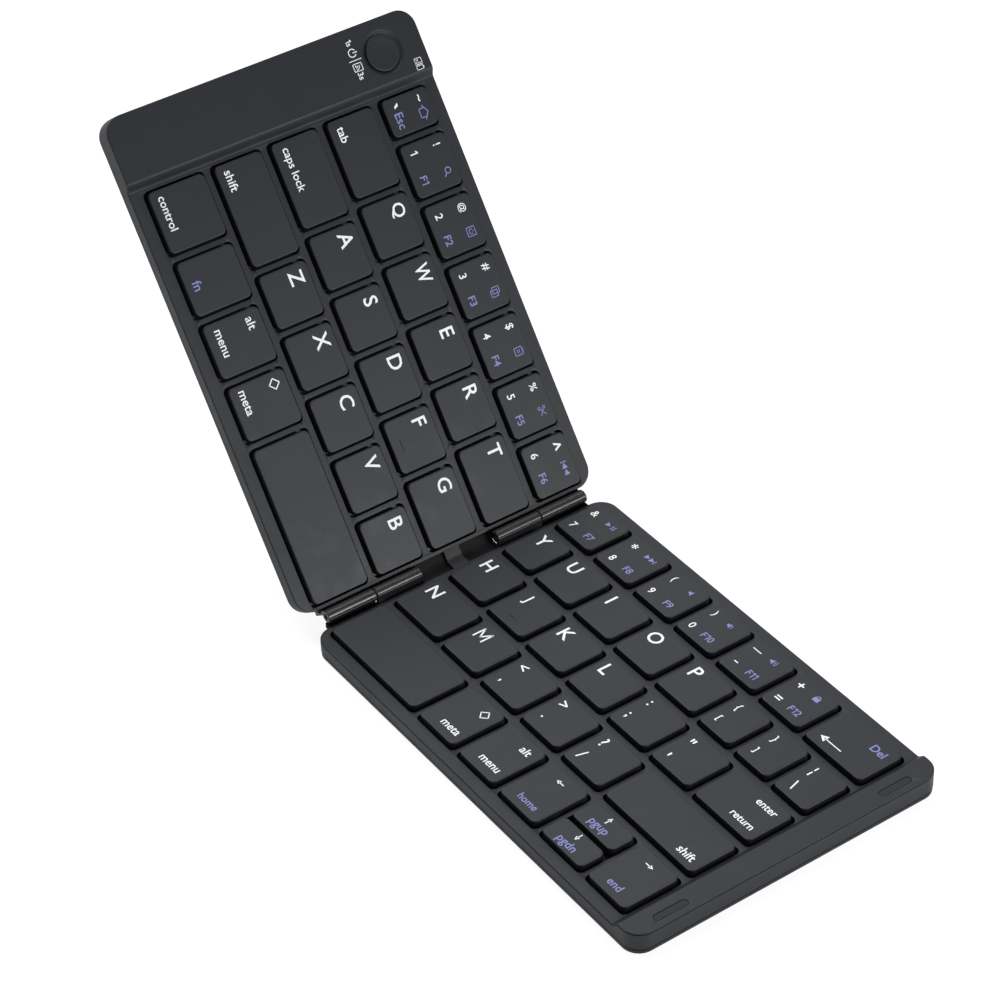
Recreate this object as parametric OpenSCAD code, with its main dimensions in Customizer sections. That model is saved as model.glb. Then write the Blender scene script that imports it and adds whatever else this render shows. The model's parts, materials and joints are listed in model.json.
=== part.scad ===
// Folding keyboard: two halves full of low island keys, joined by a row of hinge knuckles.
// The right half lies flat on its feet and the left half stands raised about the hinge.
// Each half is written lying flat, in its own terms: u runs outward from the hinge axis,
// y from front to back and z up from the table. A key or window is a box [u0, u1, y0, y1].

/* [Fold] */
// Angle that the left half is raised from flat, in degrees
raise_deg = 53.2; // [20:0.2:100]

/* [Hinge] */
// Outer radius of the hinge knuckles
knuckle_r = 1.7; // [1.5:0.05:1.9]
// Radius of the hinge pins
pin_r = 0.75; // [0.6:0.05:0.95]
// Radial running clearance of a pin in its knuckles
pin_clear = 0.04; // [0.02:0.01:0.08]
// Gap from a knuckle to the other half's side wall
knuckle_gap = 0.35; // [0.3:0.05:0.6]
// Distance from the middle to the near end of the inner knuckles
inner_knuckle_y = 12; // [9:0.5:13]
// Length of each inner knuckle, fixed to the right half
inner_knuckle_len = 13.9; // [11:0.1:15]
// Length of each outer knuckle, fixed to the left half
outer_knuckle_len = 14.6; // [11:0.1:15]
// End play between neighbouring knuckles
knuckle_play = 0.3; // [0.2:0.05:0.5]
// Width and depth of the grooves that run along a knuckle
groove_w = 0.3; // [0.2:0.05:0.4]
// Thickness of a knuckle's bracket between the two halves
bracket_t = 1.2; // [0.9:0.1:1.3]
// Radial clearance of a pin in the knuckles that grip it
pin_grip = 0.01; // [0.01:0.01:0.02]
// How far a pin's ends stay inside the knuckles
pin_inset = 0.4; // [0.2:0.1:1]
// Length of a bracket's foot inside its half
bracket_foot = 7; // [6:0.5:9]
// Width of the raised strip in the middle of the flexible strap
strip_w = 4.8; // [3:0.1:6]
// Thickness of the flexible strap's sheet, which fills the space between the inner knuckles
strap_t = 0.4; // [0.3:0.05:0.5]
// Gap between the strap and the inner knuckles
strap_gap = 0.3; // [0.2:0.05:0.5]
// How far the strap reaches into each half
strap_grip = 0.6; // [0.4:0.1:0.8]
// Distance from the hinge axis down to the strap's sheet
strap_drop = 3.2; // [3:0.05:3.3]
// Distance from the hinge axis down to the raised strip
strip_drop = 2.1; // [2:0.05:2.3]

/* [Keys] */
// Distance between neighbouring letter keys
key_pitch = 17; // [16:0.1:18]
// Gap between neighbouring key caps along a row
key_gap = 2.6; // [2.4:0.05:3]
// Gap between rows of key caps
row_gap = 3; // [2.6:0.05:3.4]
// Front to back size of the front row's caps
front_row_d = 16.45; // [14:0.05:18]
// Corner radius of a key cap
cap_r = 1.5; // [1:0.1:2]
// Full height of a key cap
cap_h = 2.4; // [2.2:0.05:2.6]
// Thickness of a cap's top
cap_skin = 0.8; // [0.6:0.05:1]
// Thickness of a cap's skirt
cap_wall = 0.9; // [0.7:0.05:1.1]
// Gap between a cap and the window that it moves in
window_gap = 0.62; // [0.5:0.02:0.7]
// How far a key travels
key_travel = 1.3; // [1:0.1:1.5]
// Room left under a cap that is pressed down
press_clear = 0.55; // [0.5:0.05:1]
// Length of the homing bars on two of the letter keys
homing_len = 3.4; // [2:0.1:4]
// Width of a homing bar
homing_w = 0.35; // [0.2:0.05:0.5]
// Distance from the front of a cap to its homing bar
homing_y = 2.8; // [2:0.1:4]
// Height of a homing bar
homing_h = 0.12; // [0.1:0.01:0.14]

/* [Key widths] */
// Width of the key at the outer end of the left number row
narrow_key_w = 10.15; // [9:0.05:12]
// Width of the tab key
tab_key_w = 20.95; // [19:0.05:22]
// Width of the caps key
caps_key_w = 23.1; // [21:0.05:24]
// Width of the left shift key
shift_key_w = 27.3; // [25:0.05:28]
// Width of the left control key
control_key_w = 16.4; // [15:0.05:17.5]
// Width of the backspace key
backspace_key_w = 20.65; // [19:0.05:22]
// Width of the first key in the right half's upper letter row
first_key_w = 11.55; // [11:0.05:12.5]
// Width of the bracket keys
bracket_key_w = 11.7; // [11:0.05:12]
// Width of the first key in the right half's lower letter row
lower_key_w = 18.7; // [17:0.05:20]
// Width of the right space bar
right_space_w = 36.65; // [34:0.05:38]
// Width of the up and down arrow keys
arrow_key_w = 15.6; // [14:0.05:16]
// Gap between the up and down arrow keys
arrow_gap = 1.4; // [1.2:0.05:2]

/* [Case] */
// Space from the left half's hinge side to its keys, measured from the hinge axis
left_keys_u = 3.7; // [3.7:0.05:4.5]
// Space from the right half's hinge side to its keys, measured from the hinge axis
right_keys_u = 4.45; // [4.2:0.05:5]
// Space behind the number row
back_margin = 4.05; // [3.9:0.05:5]
// Space in front of the front row
front_margin = 4.1; // [3.9:0.05:5]
// Width of the flat top of the left half's raised block
left_block_w = 17; // [16.5:0.1:19]
// Width of the slope that leads up to the left block
left_slope_w = 2.4; // [2:0.1:3]
// Flat land between the left half's keys and the slope
left_land = 0.83; // [0.6:0.01:1.2]
// Width of the slope that leads up to the right block
right_slope_w = 1.5; // [1.2:0.1:2]
// Flat land between the right half's keys and the slope
right_land = 0.18; // [0.1:0.01:0.4]
// Height of the end blocks above the deck
block_rise = 1.65; // [1.5:0.05:2]
// How far the cap tops stay below the block tops
cap_below_block = 0.15; // [0.1:0.05:0.3]
// Gap between the two blocks when the keyboard is shut
shut_gap = 0.3; // [0.3:0.05:0.6]
// Corner radius of each half, seen from above
corner_r = 5; // [4:0.1:6]
// Thickness of the top frame's deck and of the block's top
deck_t = 1.2; // [1:0.05:1.4]
// Thickness of the side walls
wall_t = 1; // [0.8:0.05:1.05]
// Thickness of the bottom cover's floor
floor_t = 0.8; // [0.7:0.05:1]
// Height of the bottom cover, up to the parting line
cover_h = 1.85; // [1.8:0.05:2]
// How far the bottom cover stands in from the top frame
cover_inset = 0.1; // [0.05:0.05:0.2]
// Radius of the bottom cover's lower edge
cover_round = 1.1; // [0.8:0.1:1.2]

/* [Inside] */
// Thickness of the brackets' feet and of the space under the steel plates
foot_gap = 0.6; // [0.5:0.05:0.8]
// Thickness of the steel support plates
plate_t = 0.4; // [0.3:0.05:0.5]
// Thickness of the switch membranes
membrane_t = 0.25; // [0.2:0.05:0.3]
// Bottom radius of a rubber dome
dome_r = 2.3; // [1.8:0.1:2.5]
// Thickness of the scissor links
link_t = 0.5; // [0.4:0.05:0.6]
// Width of the scissor links' arms
link_arm = 0.9; // [0.7:0.05:1]
// Length of a full-size scissor link
link_len = 10; // [9:0.1:10.4]
// Shaft radius of the case screws
screw_r = 0.6; // [0.5:0.05:0.7]
// Head radius of the case screws
screw_head_r = 1.1; // [0.9:0.05:1.2]
// Head height of the case screws
screw_head_h = 0.45; // [0.3:0.05:0.5]
// Distance from a long edge to the screws beside it
screw_edge = 2.55; // [2.5:0.05:2.6]
// Distance from the hinge side to the first screw
screw_hinge_gap = 9; // [8:0.5:12]
// Distance from the outer end to the last screw
screw_end_gap = 4.5; // [4.2:0.1:5]
// Radius of the posts that take the screws
post_r = 1; // [0.9:0.05:1.05]
// Length of the battery
battery_len = 46; // [30:1:48]
// Width of the battery
battery_w = 10; // [8:0.5:10]
// Thickness of the battery
battery_t = 3.7; // [2.5:0.1:3.8]
// Thickness of the main board
board_t = 0.8; // [0.6:0.1:1]
// Distance from a bracket foot's end to its screw
bracket_screw_gap = 2.4; // [2:0.1:3]
// Length of the closing magnets
magnet_len = 10; // [6:0.5:12]
// Width of the closing magnets
magnet_w = 3.6; // [3:0.1:3.8]
// Thickness of the closing magnets
magnet_t = 1.5; // [1:0.1:2]
// Gap from the magnets to the end wall
magnet_gap = 0.5; // [0.3:0.1:0.8]
// Distance from the middle of a half to the middle of a magnet
magnet_y = 20; // [16:0.5:24]

/* [Details] */
// Radius of the power button
button_r = 4.9; // [4:0.1:5]
// Distance from the outer end to the middle of the power button
button_edge = 9.1; // [9:0.1:9.3]
// Distance from the back to the middle of the power button
button_back = 12.1; // [11.8:0.1:13]
// How far the power button travels
button_travel = 0.3; // [0.2:0.05:0.4]
// Gap around the power button
button_gap = 0.15; // [0.1:0.01:0.2]
// Depth of the dish that the power button sits in
dish_depth = 0.5; // [0.3:0.05:0.6]
// Width of the dish's sloped rim
dish_rim = 0.95; // [0.7:0.05:1]
// Gap around the charging socket in the case
port_clear = 0.3; // [0.25:0.05:0.35]
// Width of the charging socket
socket_w = 7.5; // [7:0.1:8]
// Height of the charging socket
socket_h = 2.6; // [2.4:0.05:2.7]
// Depth of the charging socket
socket_d = 5.5; // [5:0.1:6]
// Length of the stop pads in the right block
pad_len = 9.8; // [8:0.1:11]
// Width of the stop pads
pad_w = 2.1; // [1.6:0.1:2.3]
// Length of the feet
foot_len = 14; // [10:0.5:18]
// Width of the feet
foot_w = 5; // [4:0.5:6]
// How far the feet stand out of the bottom cover
foot_h = 0.35; // [0.3:0.05:0.6]
// How deep the feet sit in the bottom cover
foot_recess = 0.25; // [0.2:0.05:0.3]
// Distance from a long edge to the middle of a foot
foot_edge = 6.5; // [6:0.1:8]
// Distance from the hinge side to the middle of the first foot
foot_hinge_gap = 10; // [9:0.5:14]
// Distance from the outer end to the middle of the last foot
foot_end_gap = 13; // [11:0.5:16]
// Distance from the back to the middle of the indicator lens
lens_back = 3.5; // [3:0.1:5]
// Distance from the slope to the middle of the indicator lens
lens_gap = 1.9; // [1.8:0.1:2.5]
// Distance from the outer end to the middle of the stop pads
pad_edge = 2.8; // [2.4:0.1:4]
// Distance from the middle of a half to the middle of a stop pad
pad_y = 33.75; // [28:0.25:36]

/* [Hidden] */

tiny = 0.05;
arc_steps = 5;
row_count = 5;
groove_angles = [-70, -25, 25, 70];

// Colours
case_color = [0.24, 0.25, 0.27];
cap_color = [0.27, 0.28, 0.3];
knuckle_color = [0.17, 0.17, 0.18];
steel_color = [0.62, 0.63, 0.65];
rubber_color = [0.12, 0.12, 0.13];
film_color = [0.09, 0.09, 0.1];

// Heights, from the table up
cover_z0 = foot_h;
floor_top = cover_z0 + floor_t;
split_z = cover_z0 + cover_h;
plate_z0 = floor_top + foot_gap;
plate_z1 = plate_z0 + plate_t;
membrane_z1 = plate_z1 + membrane_t;
cap_rise = block_rise - cap_below_block;
cap_top = membrane_z1 + press_clear + key_travel + cap_h;
cap_base = cap_top - cap_h;
cap_under = cap_top - cap_skin;
deck_z = cap_top - cap_rise;
deck_under = deck_z - deck_t;
block_z = deck_z + block_rise;
block_under = block_z - deck_t;
axis_z = block_z + shut_gap / 2;

// Lengths along u
hinge_u = knuckle_r + knuckle_gap;
cap_w = key_pitch - key_gap;
left_field = narrow_key_w + 6 * key_pitch;
right_field = 6 * key_pitch + backspace_key_w;
left_slope_u0 = left_keys_u + left_field + window_gap + left_land;
left_slope_u1 = left_slope_u0 + left_slope_w;
end_u = left_slope_u1 + left_block_w;
right_slope_u0 = right_keys_u + right_field + window_gap + right_land;
right_slope_u1 = right_slope_u0 + right_slope_w;

// Lengths along y
row_pitch = key_pitch;
cap_d = row_pitch - row_gap;
rows_d = (row_count - 1) * row_pitch + front_row_d;
half_d = (back_margin + rows_d + front_margin) / 2;
row_back = half_d - back_margin;
row_front = row_back - rows_d;

// Middle of the whole object along x: the left half reaches lowest and farthest at its outer edge
function raised_reach(u, z) = u * cos(raise_deg) - (z - axis_z) * sin(raise_deg);
lower_edge = [for (k = [0 : arc_steps])
    let (a = 90 * k / arc_steps) [cover_round * (1 - sin(a)), cover_round * (1 - cos(a))]];
left_reach = max(concat(
    [raised_reach(end_u, split_z)],
    [for (p = lower_edge) raised_reach(end_u - cover_inset - p[0], cover_z0 + p[1])]
));
mid_x = (end_u - left_reach) / 2;

// Key boxes. A row lists its widths from its first key, and its last key fills what is left.
function sum(v, n) = n <= 0 ? 0 : v[n - 1] + sum(v, n - 1);
function filled(widths, field) =
    concat(widths, [field - sum(widths, len(widths)) - len(widths) * key_gap]);
function row_y0(row) = row == row_count - 1 ? row_front : row_back - row * row_pitch - cap_d;
function row_y1(row) = row_back - row * row_pitch;
function left_box(row, i) =
    let (w = left_rows[row], u1 = left_keys_u + left_field - sum(w, i) - i * key_gap)
    [u1 - w[i], u1, row_y0(row), row_y1(row)];
function right_box(row, i) =
    let (w = right_rows[row], u0 = right_keys_u + sum(w, i) + i * key_gap)
    [u0, u0 + w[i], row_y0(row), row_y1(row)];

left_rows = [
    filled([narrow_key_w, cap_w, cap_w, cap_w, cap_w, cap_w], left_field),
    filled([tab_key_w, cap_w, cap_w, cap_w, cap_w], left_field),
    filled([caps_key_w, cap_w, cap_w, cap_w, cap_w], left_field),
    filled([shift_key_w, cap_w, cap_w, cap_w, cap_w], left_field),
    filled([control_key_w, cap_w, cap_w, cap_w], left_field)
];
right_rows = [
    filled([cap_w, cap_w, cap_w, cap_w, cap_w, cap_w], right_field),
    filled([first_key_w, cap_w, cap_w, cap_w, cap_w, bracket_key_w, bracket_key_w], right_field),
    filled([cap_w, cap_w, cap_w, cap_w, cap_w, cap_w], right_field),
    filled([lower_key_w, cap_w, cap_w, cap_w, cap_w], right_field),
    filled([right_space_w, cap_w, cap_w, cap_w, arrow_key_w], right_field)
];

// The arrow window holds two caps, one behind the other
arrow_box = right_box(4, 4);
arrow_d = (arrow_box[3] - arrow_box[2] - arrow_gap) / 2;
up_box = [arrow_box[0], arrow_box[1], arrow_box[3] - arrow_d, arrow_box[3]];
down_box = [arrow_box[0], arrow_box[1], arrow_box[2], arrow_box[2] + arrow_d];

left_windows = [for (r = [0 : row_count - 1]) for (i = [0 : len(left_rows[r]) - 1]) left_box(r, i)];
right_windows = [for (r = [0 : row_count - 1]) for (i = [0 : len(right_rows[r]) - 1]) right_box(r, i)];
left_caps = left_windows;
right_caps = concat([for (b = right_windows) if (b != arrow_box) b], [up_box, down_box]);

// Layers of the strap: width, and the distances from the hinge axis to its faces
strap_layers = [
    [2 * (inner_knuckle_y - strap_gap), strap_drop, strap_drop + strap_t],
    [strip_w, strip_drop, strap_drop]
];
pin_len = inner_knuckle_len + knuckle_play + outer_knuckle_len - 2 * pin_inset;

// Places of the screws: beside the long edges, and through the hinge brackets' feet
boss_rim = 0.3;
slot_w = 0.24;
slot_d = 0.25;
screw_y = half_d - screw_edge;
screw_u0 = hinge_u + screw_hinge_gap;
screw_u1 = end_u - screw_end_gap;
screw_us = [for (k = [0 : 3]) screw_u0 + k * (screw_u1 - screw_u0) / 3];
inner_knuckle_mid = inner_knuckle_y + inner_knuckle_len / 2;
outer_knuckle_y = inner_knuckle_y + inner_knuckle_len + knuckle_play;
outer_knuckle_mid = outer_knuckle_y + outer_knuckle_len / 2;
bracket_screw_u = hinge_u + bracket_foot - bracket_screw_gap;

// Places of the parts inside the blocks
inside_u1 = end_u - wall_t;
magnet_u0 = inside_u1 - magnet_w - magnet_gap;
battery_gap = 0.8;
battery_u0 = left_slope_u1 + battery_gap;
battery_y1 = 3;
battery_r = 1.2;
rest_r = 1;
rest_inset = 1.5;
rest_h = 0.5;
board_gap = 3;
board_side_gap = 1.4;
board_back_gap = 0.2;
board_overlap = 0.4;
board_z0 = floor_top + rest_h;
board_z1 = board_z0 + board_t;
board_u0 = left_slope_u1 - board_overlap;
board_u1 = magnet_u0 - board_side_gap;
board_y0 = battery_y1 + board_gap;
board_y1 = half_d - wall_t - board_back_gap;
button_u = end_u - button_edge;
button_y = half_d - button_back;
button_hole_r = button_r + button_gap;
flange_t = 0.5;
flange_rim = 0.5;
flange_gap = 0.1;
flange_top = block_under - flange_gap;
stem_r = 1.2;
dish_land = 0.1;
switch_w = 3.4;
switch_h = 1.4;
plunger_r = 0.8;
plunger_h = 0.25;
stem_z = board_z1 + switch_h + plunger_h + button_travel + tiny;
lamp_w = 0.9;
lamp_h = 0.7;
chip_w = 5;
chip_h = 0.9;
chip_inset = 4.5;
lens_w = 3.2;
lens_d = 1.8;
lens_u = left_slope_u1 + lens_gap;
lens_y = half_d - lens_back;
socket_inset = 0.15;
socket_gap = 0.1;
socket_u = board_u1 - socket_w / 2 - socket_gap;
socket_y1 = half_d - socket_inset;
socket_wall = 0.3;
socket_back = 0.6;
tongue_w = 4.8;
tongue_t = 0.6;
pad_u = end_u - pad_edge;
pad_depth = 0.6;
pad_below = 0.1;
foot_us = [hinge_u + foot_hinge_gap, end_u - foot_end_gap];
foot_y = half_d - foot_edge;

// Shapes in plan
function corner(x, y, r, from) =
    [for (k = [0 : arc_steps]) let (a = from + 90 * k / arc_steps) [x + r * cos(a), y + r * sin(a)]];
function round_box(b, r) = concat(
    corner(b[1] - r, b[3] - r, r, 0),
    corner(b[0] + r, b[3] - r, r, 90),
    corner(b[0] + r, b[2] + r, r, 180),
    corner(b[1] - r, b[2] + r, r, 270)
);
function grown(b, d) = [b[0] - d, b[1] + d, b[2] - d, b[3] + d];
function plan(inset) = [hinge_u + inset, end_u - inset, -half_d + inset, half_d - inset];
function key_field(boxes, d) =
    grown([min([for (b = boxes) b[0]]), max([for (b = boxes) b[1]]), row_front, row_back], d);

module prism(b, r, z0, z1) {
    translate([0, 0, z0]) linear_extrude(z1 - z0) polygon(round_box(b, r));
}
module block_at(b, z0, z1) {
    translate([b[0], b[2], z0]) cube([b[1] - b[0], b[3] - b[2], z1 - z0]);
}
module post_at(u, y, r, z0, z1) {
    translate([u, y, z0]) cylinder(h = z1 - z0, r = r, $fn = 24);
}
// Turns a shape drawn in u and z into a bar along y
module along_y(y0, y1) {
    translate([0, y1, 0]) rotate([90, 0, 0]) linear_extrude(y1 - y0) children();
}

// Room around the plates, the membranes' domes and the links
plate_gap = 0.3;
plate_r = 1;
membrane_rim = 0.1;
dome_gap = 0.3;
link_gap = 0.3;
arm_gap = 0.2;
shaft_top = deck_under - 0.2;
function link_size(b) = [
    min(link_len + 1, b[1] - b[0] - 2 * (cap_wall + link_gap)),
    min(link_len, b[3] - b[2] - 2 * (cap_wall + link_gap))
];

// Places of the two halves
module right_half() {
    translate([-mid_x, 0, 0]) children();
}
module left_half() {
    translate([-mid_x, 0, axis_z]) rotate([0, raise_deg, 0]) translate([0, 0, -axis_z])
        mirror([1, 0, 0]) children();
}
module both_sides() {
    for (s = [0, 1]) mirror([0, s, 0]) children();
}
module screw_places() {
    both_sides() for (u = screw_us) translate([u, screw_y, 0]) children();
}

// Bottom cover with its rounded edge, foot recesses, screw bosses and bracket notches
module bottom_cover(knuckle_mid, knuckle_len) {
    difference() {
        union() {
            hull() for (p = lower_edge)
                prism(plan(cover_inset + p[0]), corner_r - p[0], cover_z0 + p[1], cover_z0 + p[1] + tiny);
            prism(plan(cover_inset), corner_r, cover_z0 + cover_round, split_z);
        }
        prism(plan(cover_inset + wall_t), corner_r - wall_t, floor_top, split_z + 1);
        foot_places() prism(grown(foot_shape, tiny), foot_w / 2, cover_z0 - 1, cover_z0 + foot_recess);
        screw_places() screw_hole();
        both_sides() {
            block_at([hinge_u - 1, hinge_u + wall_t + cover_inset + tiny,
                      knuckle_mid - knuckle_len / 2 - tiny, knuckle_mid + knuckle_len / 2 + tiny],
                     floor_top, split_z + 1);
            translate([bracket_screw_u, knuckle_mid, 0]) screw_hole();
        }
    }
    screw_places() difference() {
        post_at(0, 0, post_r + boss_rim, floor_top - tiny, plate_z0);
        post_at(0, 0, screw_r + tiny, floor_top - 1, plate_z0 + 1);
    }
}
module screw_hole() {
    post_at(0, 0, screw_r + tiny, cover_z0 - 1, floor_top + 1);
    post_at(0, 0, screw_head_r + tiny, cover_z0 - 1, cover_z0 + screw_head_h);
}
foot_shape = [-foot_len / 2, foot_len / 2, -foot_w / 2, foot_w / 2];
module foot_places() {
    both_sides() for (u = foot_us) translate([u, foot_y, 0]) children();
}

// Top frame: deck with a window for each key, raised end block and side walls
module top_frame(windows, slope_u0, slope_u1) {
    difference() {
        intersection() {
            prism(plan(0), corner_r, split_z, block_z);
            along_y(-half_d, half_d) polygon([
                [hinge_u, split_z], [hinge_u, deck_z], [slope_u0, deck_z],
                [slope_u1, block_z], [end_u, block_z], [end_u, split_z]
            ]);
        }
        intersection() {
            prism(plan(wall_t), corner_r - wall_t, split_z - 1, block_z);
            along_y(-half_d, half_d) polygon([
                [hinge_u, split_z - 1], [hinge_u, deck_under], [slope_u0 + deck_t / 2, deck_under],
                [slope_u1 + deck_t / 2, block_under], [end_u, block_under], [end_u, split_z - 1]
            ]);
        }
        for (b = windows) prism(grown(b, window_gap), cap_r, deck_under - 1, deck_z + 1);
        for (layer = strap_layers)
            block_at([hinge_u - 1, hinge_u + strap_grip + tiny, -layer[0] / 2 - tiny, layer[0] / 2 + tiny],
                     axis_z - layer[2] - tiny, axis_z - layer[1] + tiny);
    }
    both_sides() for (u = screw_us) {
        in_block = u > slope_u1;
        foot_z = in_block ? plate_z0 : plate_z1;
        difference() {
            post_at(u, screw_y, post_r, foot_z, (in_block ? block_under : deck_under) + tiny);
            post_at(u, screw_y, screw_r + tiny, foot_z - 1, deck_under);
        }
    }
}

module support_plate(slope_u0, knuckle_mid) {
    plate_inset = cover_inset + wall_t + plate_gap;
    edge = plan(plate_inset);
    difference() {
        prism([edge[0], slope_u0, edge[2], edge[3]], plate_r, plate_z0, plate_z1);
        screw_places() post_at(0, 0, screw_r + tiny, plate_z0 - 1, plate_z1 + 1);
        both_sides() post_at(bracket_screw_u, knuckle_mid, screw_r + tiny, plate_z0 - 1, plate_z1 + 1);
    }
}

// Two-layer switch sheet with a rubber dome under each key
module key_membrane(caps) {
    prism(key_field(caps, membrane_rim), plate_r, plate_z1, membrane_z1);
    for (b = caps) {
        size = link_size(b);
        r = min(dome_r, size[1] / 2 - link_arm - dome_gap, size[0] / 2 - 2 * link_arm - arm_gap - dome_gap);
        translate([(b[0] + b[1]) / 2, (b[2] + b[3]) / 2, membrane_z1])
            cylinder(h = cap_under - membrane_z1 - tiny, r1 = r, r2 = r * 0.6, $fn = 24);
    }
}

// Crossed pair of hollow links under each cap
module link(size, tilt) {
    rotate([tilt, 0, 0]) translate([0, 0, -link_t / 2]) linear_extrude(link_t) difference() {
        square(size, center = true);
        square([size[0] - 2 * link_arm, size[1] - 2 * link_arm], center = true);
    }
}
module scissor_links(caps) {
    room = cap_under - membrane_z1 - 2 * tiny;
    for (b = caps) {
        size = link_size(b);
        tilt = asin((room - link_t) / (size[1] + link_t));
        translate([(b[0] + b[1]) / 2, (b[2] + b[3]) / 2, (cap_under + membrane_z1) / 2]) {
            link(size, tilt);
            link([size[0] - 2 * (link_arm + arm_gap), size[1]], -tilt);
        }
    }
}

module case_screws(knuckle_mid) {
    screw_places() case_screw(shaft_top);
    both_sides() translate([bracket_screw_u, knuckle_mid, 0]) case_screw(plate_z1);
}
module case_screw(top) {
    difference() {
        post_at(0, 0, screw_head_r, cover_z0 + tiny, cover_z0 + screw_head_h);
        translate([-screw_r, -slot_w / 2, cover_z0]) cube([2 * screw_r, slot_w, slot_d]);
    }
    post_at(0, 0, screw_r, cover_z0 + screw_head_h, top);
}

module feet() {
    foot_places() prism(foot_shape, foot_w / 2 - tiny, 0, cover_z0 + foot_recess);
}

module magnets() {
    both_sides() translate([0, magnet_y, 0])
        block_at([magnet_u0, magnet_u0 + magnet_w, -magnet_len / 2, magnet_len / 2],
                 block_under - magnet_t, block_under);
}

// Knuckles on a bracket: the web drops between the halves and the foot lies under the steel plate
module hinge_knuckles(y0, y1, bore_r) {
    both_sides() difference() {
        union() {
            translate([0, y1, axis_z]) rotate([90, 0, 0]) cylinder(h = y1 - y0, r = knuckle_r, $fn = 48);
            block_at([knuckle_r - bracket_t, knuckle_r, y0, y1], floor_top, axis_z);
            block_at([knuckle_r - bracket_t, hinge_u + bracket_foot, y0, y1], floor_top, plate_z0);
        }
        translate([0, y1 + 1, axis_z]) rotate([90, 0, 0]) cylinder(h = y1 - y0 + 2, r = bore_r, $fn = 48);
        for (a = groove_angles)
            translate([0, 0, axis_z]) rotate([0, a, 0])
                translate([-groove_w / 2, y0 - 1, knuckle_r - groove_w / 2])
                    cube([groove_w, y1 - y0 + 2, groove_w]);
        post_at(bracket_screw_u, (y0 + y1) / 2, screw_r + tiny, floor_top - 1, plate_z0 + 1);
    }
}

// Flexible strap, a wide sheet with a raised strip: straight out of each half, bent round the axis
module strap_end(layer) {
    block_at([0, hinge_u + strap_grip, -layer[0] / 2, layer[0] / 2], axis_z - layer[2], axis_z - layer[1]);
}

module cap(b) {
    difference() {
        prism(b, cap_r, cap_base, cap_top);
        prism(grown(b, -cap_wall), cap_r - cap_wall, cap_base - 1, cap_under);
    }
}
module homing_cap(b) {
    cap(b);
    mid_u = (b[0] + b[1]) / 2;
    translate([mid_u - homing_len / 2, b[2] + homing_y, cap_top - tiny])
        cube([homing_len, homing_w, homing_h + tiny]);
}
module left_cap(row, i) {
    color(cap_color) left_half() cap(left_box(row, i));
}
module right_cap(row, i) {
    color(cap_color) right_half() cap(right_box(row, i));
}

// The sub-parts
module right_bottom_cover() {
    color(case_color) right_half() bottom_cover(inner_knuckle_mid, inner_knuckle_len);
}
module left_bottom_cover() {
    color(case_color) left_half() difference() {
        bottom_cover(outer_knuckle_mid, outer_knuckle_len);
        port_hole();
    }
    color(case_color) left_half() for (u = [board_u0 + rest_inset, board_u1 - rest_inset])
        for (y = [board_y0 + rest_inset, board_y1 - socket_d - 2 * rest_inset])
            post_at(u, y, rest_r, floor_top - tiny, board_z0);
}
module right_top_frame() {
    color(case_color) right_half() difference() {
        top_frame(right_windows, right_slope_u0, right_slope_u1);
        both_sides() prism(pad_slot, pad_w / 2, block_z - pad_depth, block_z + 1);
    }
}
module left_top_frame() {
    color(case_color) left_half() difference() {
        top_frame(left_windows, left_slope_u0, left_slope_u1);
        translate([button_u, button_y, 0]) {
            cylinder_between(button_hole_r, block_under - 1, block_z + 1);
            translate([0, 0, block_z - dish_depth]) cylinder(
                h = dish_depth + tiny, $fn = 48,
                r1 = button_hole_r + dish_land, r2 = button_hole_r + dish_rim
            );
        }
        block_at(grown(lens_box, tiny), block_under - 1, block_z + 1);
        port_hole();
    }
}
module right_support_plate() {
    color(steel_color) right_half() support_plate(right_slope_u0 - wall_t / 2, inner_knuckle_mid);
}
module left_support_plate() {
    color(steel_color) left_half() support_plate(left_slope_u0, outer_knuckle_mid);
}
module right_key_membrane() {
    color(film_color) right_half() key_membrane(right_caps);
}
module left_key_membrane() {
    color(film_color) left_half() key_membrane(left_caps);
}
module right_scissor_links() {
    color(film_color) right_half() scissor_links(right_caps);
}
module left_scissor_links() {
    color(film_color) left_half() scissor_links(left_caps);
}
module right_screws() {
    color(steel_color) right_half() case_screws(inner_knuckle_mid);
}
module left_screws() {
    color(steel_color) left_half() case_screws(outer_knuckle_mid);
}
module right_feet() {
    color(rubber_color) right_half() feet();
}
module left_feet() {
    color(rubber_color) left_half() feet();
}
pad_slot = [pad_u - pad_w / 2, pad_u + pad_w / 2, pad_y - pad_len / 2, pad_y + pad_len / 2];
module right_stop_pads() {
    color(rubber_color) right_half() both_sides()
        prism(grown(pad_slot, -tiny), pad_w / 2 - tiny, block_z - pad_depth, block_z - pad_below);
}
module right_magnets() {
    color("silver") right_half() magnets();
}
module left_magnets() {
    color("silver") left_half() magnets();
}
module right_hinge_knuckles() {
    color(knuckle_color) right_half()
        hinge_knuckles(inner_knuckle_y, inner_knuckle_y + inner_knuckle_len, pin_r + pin_grip);
}
module left_hinge_knuckles() {
    color(knuckle_color) left_half()
        hinge_knuckles(outer_knuckle_y, outer_knuckle_y + outer_knuckle_len, pin_r + pin_clear);
}
module hinge_pins() {
    color(steel_color) right_half() both_sides()
        translate([0, outer_knuckle_y + outer_knuckle_len - pin_inset, axis_z]) rotate([90, 0, 0])
            cylinder(h = pin_len, r = pin_r, $fn = 32);
}
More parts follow.
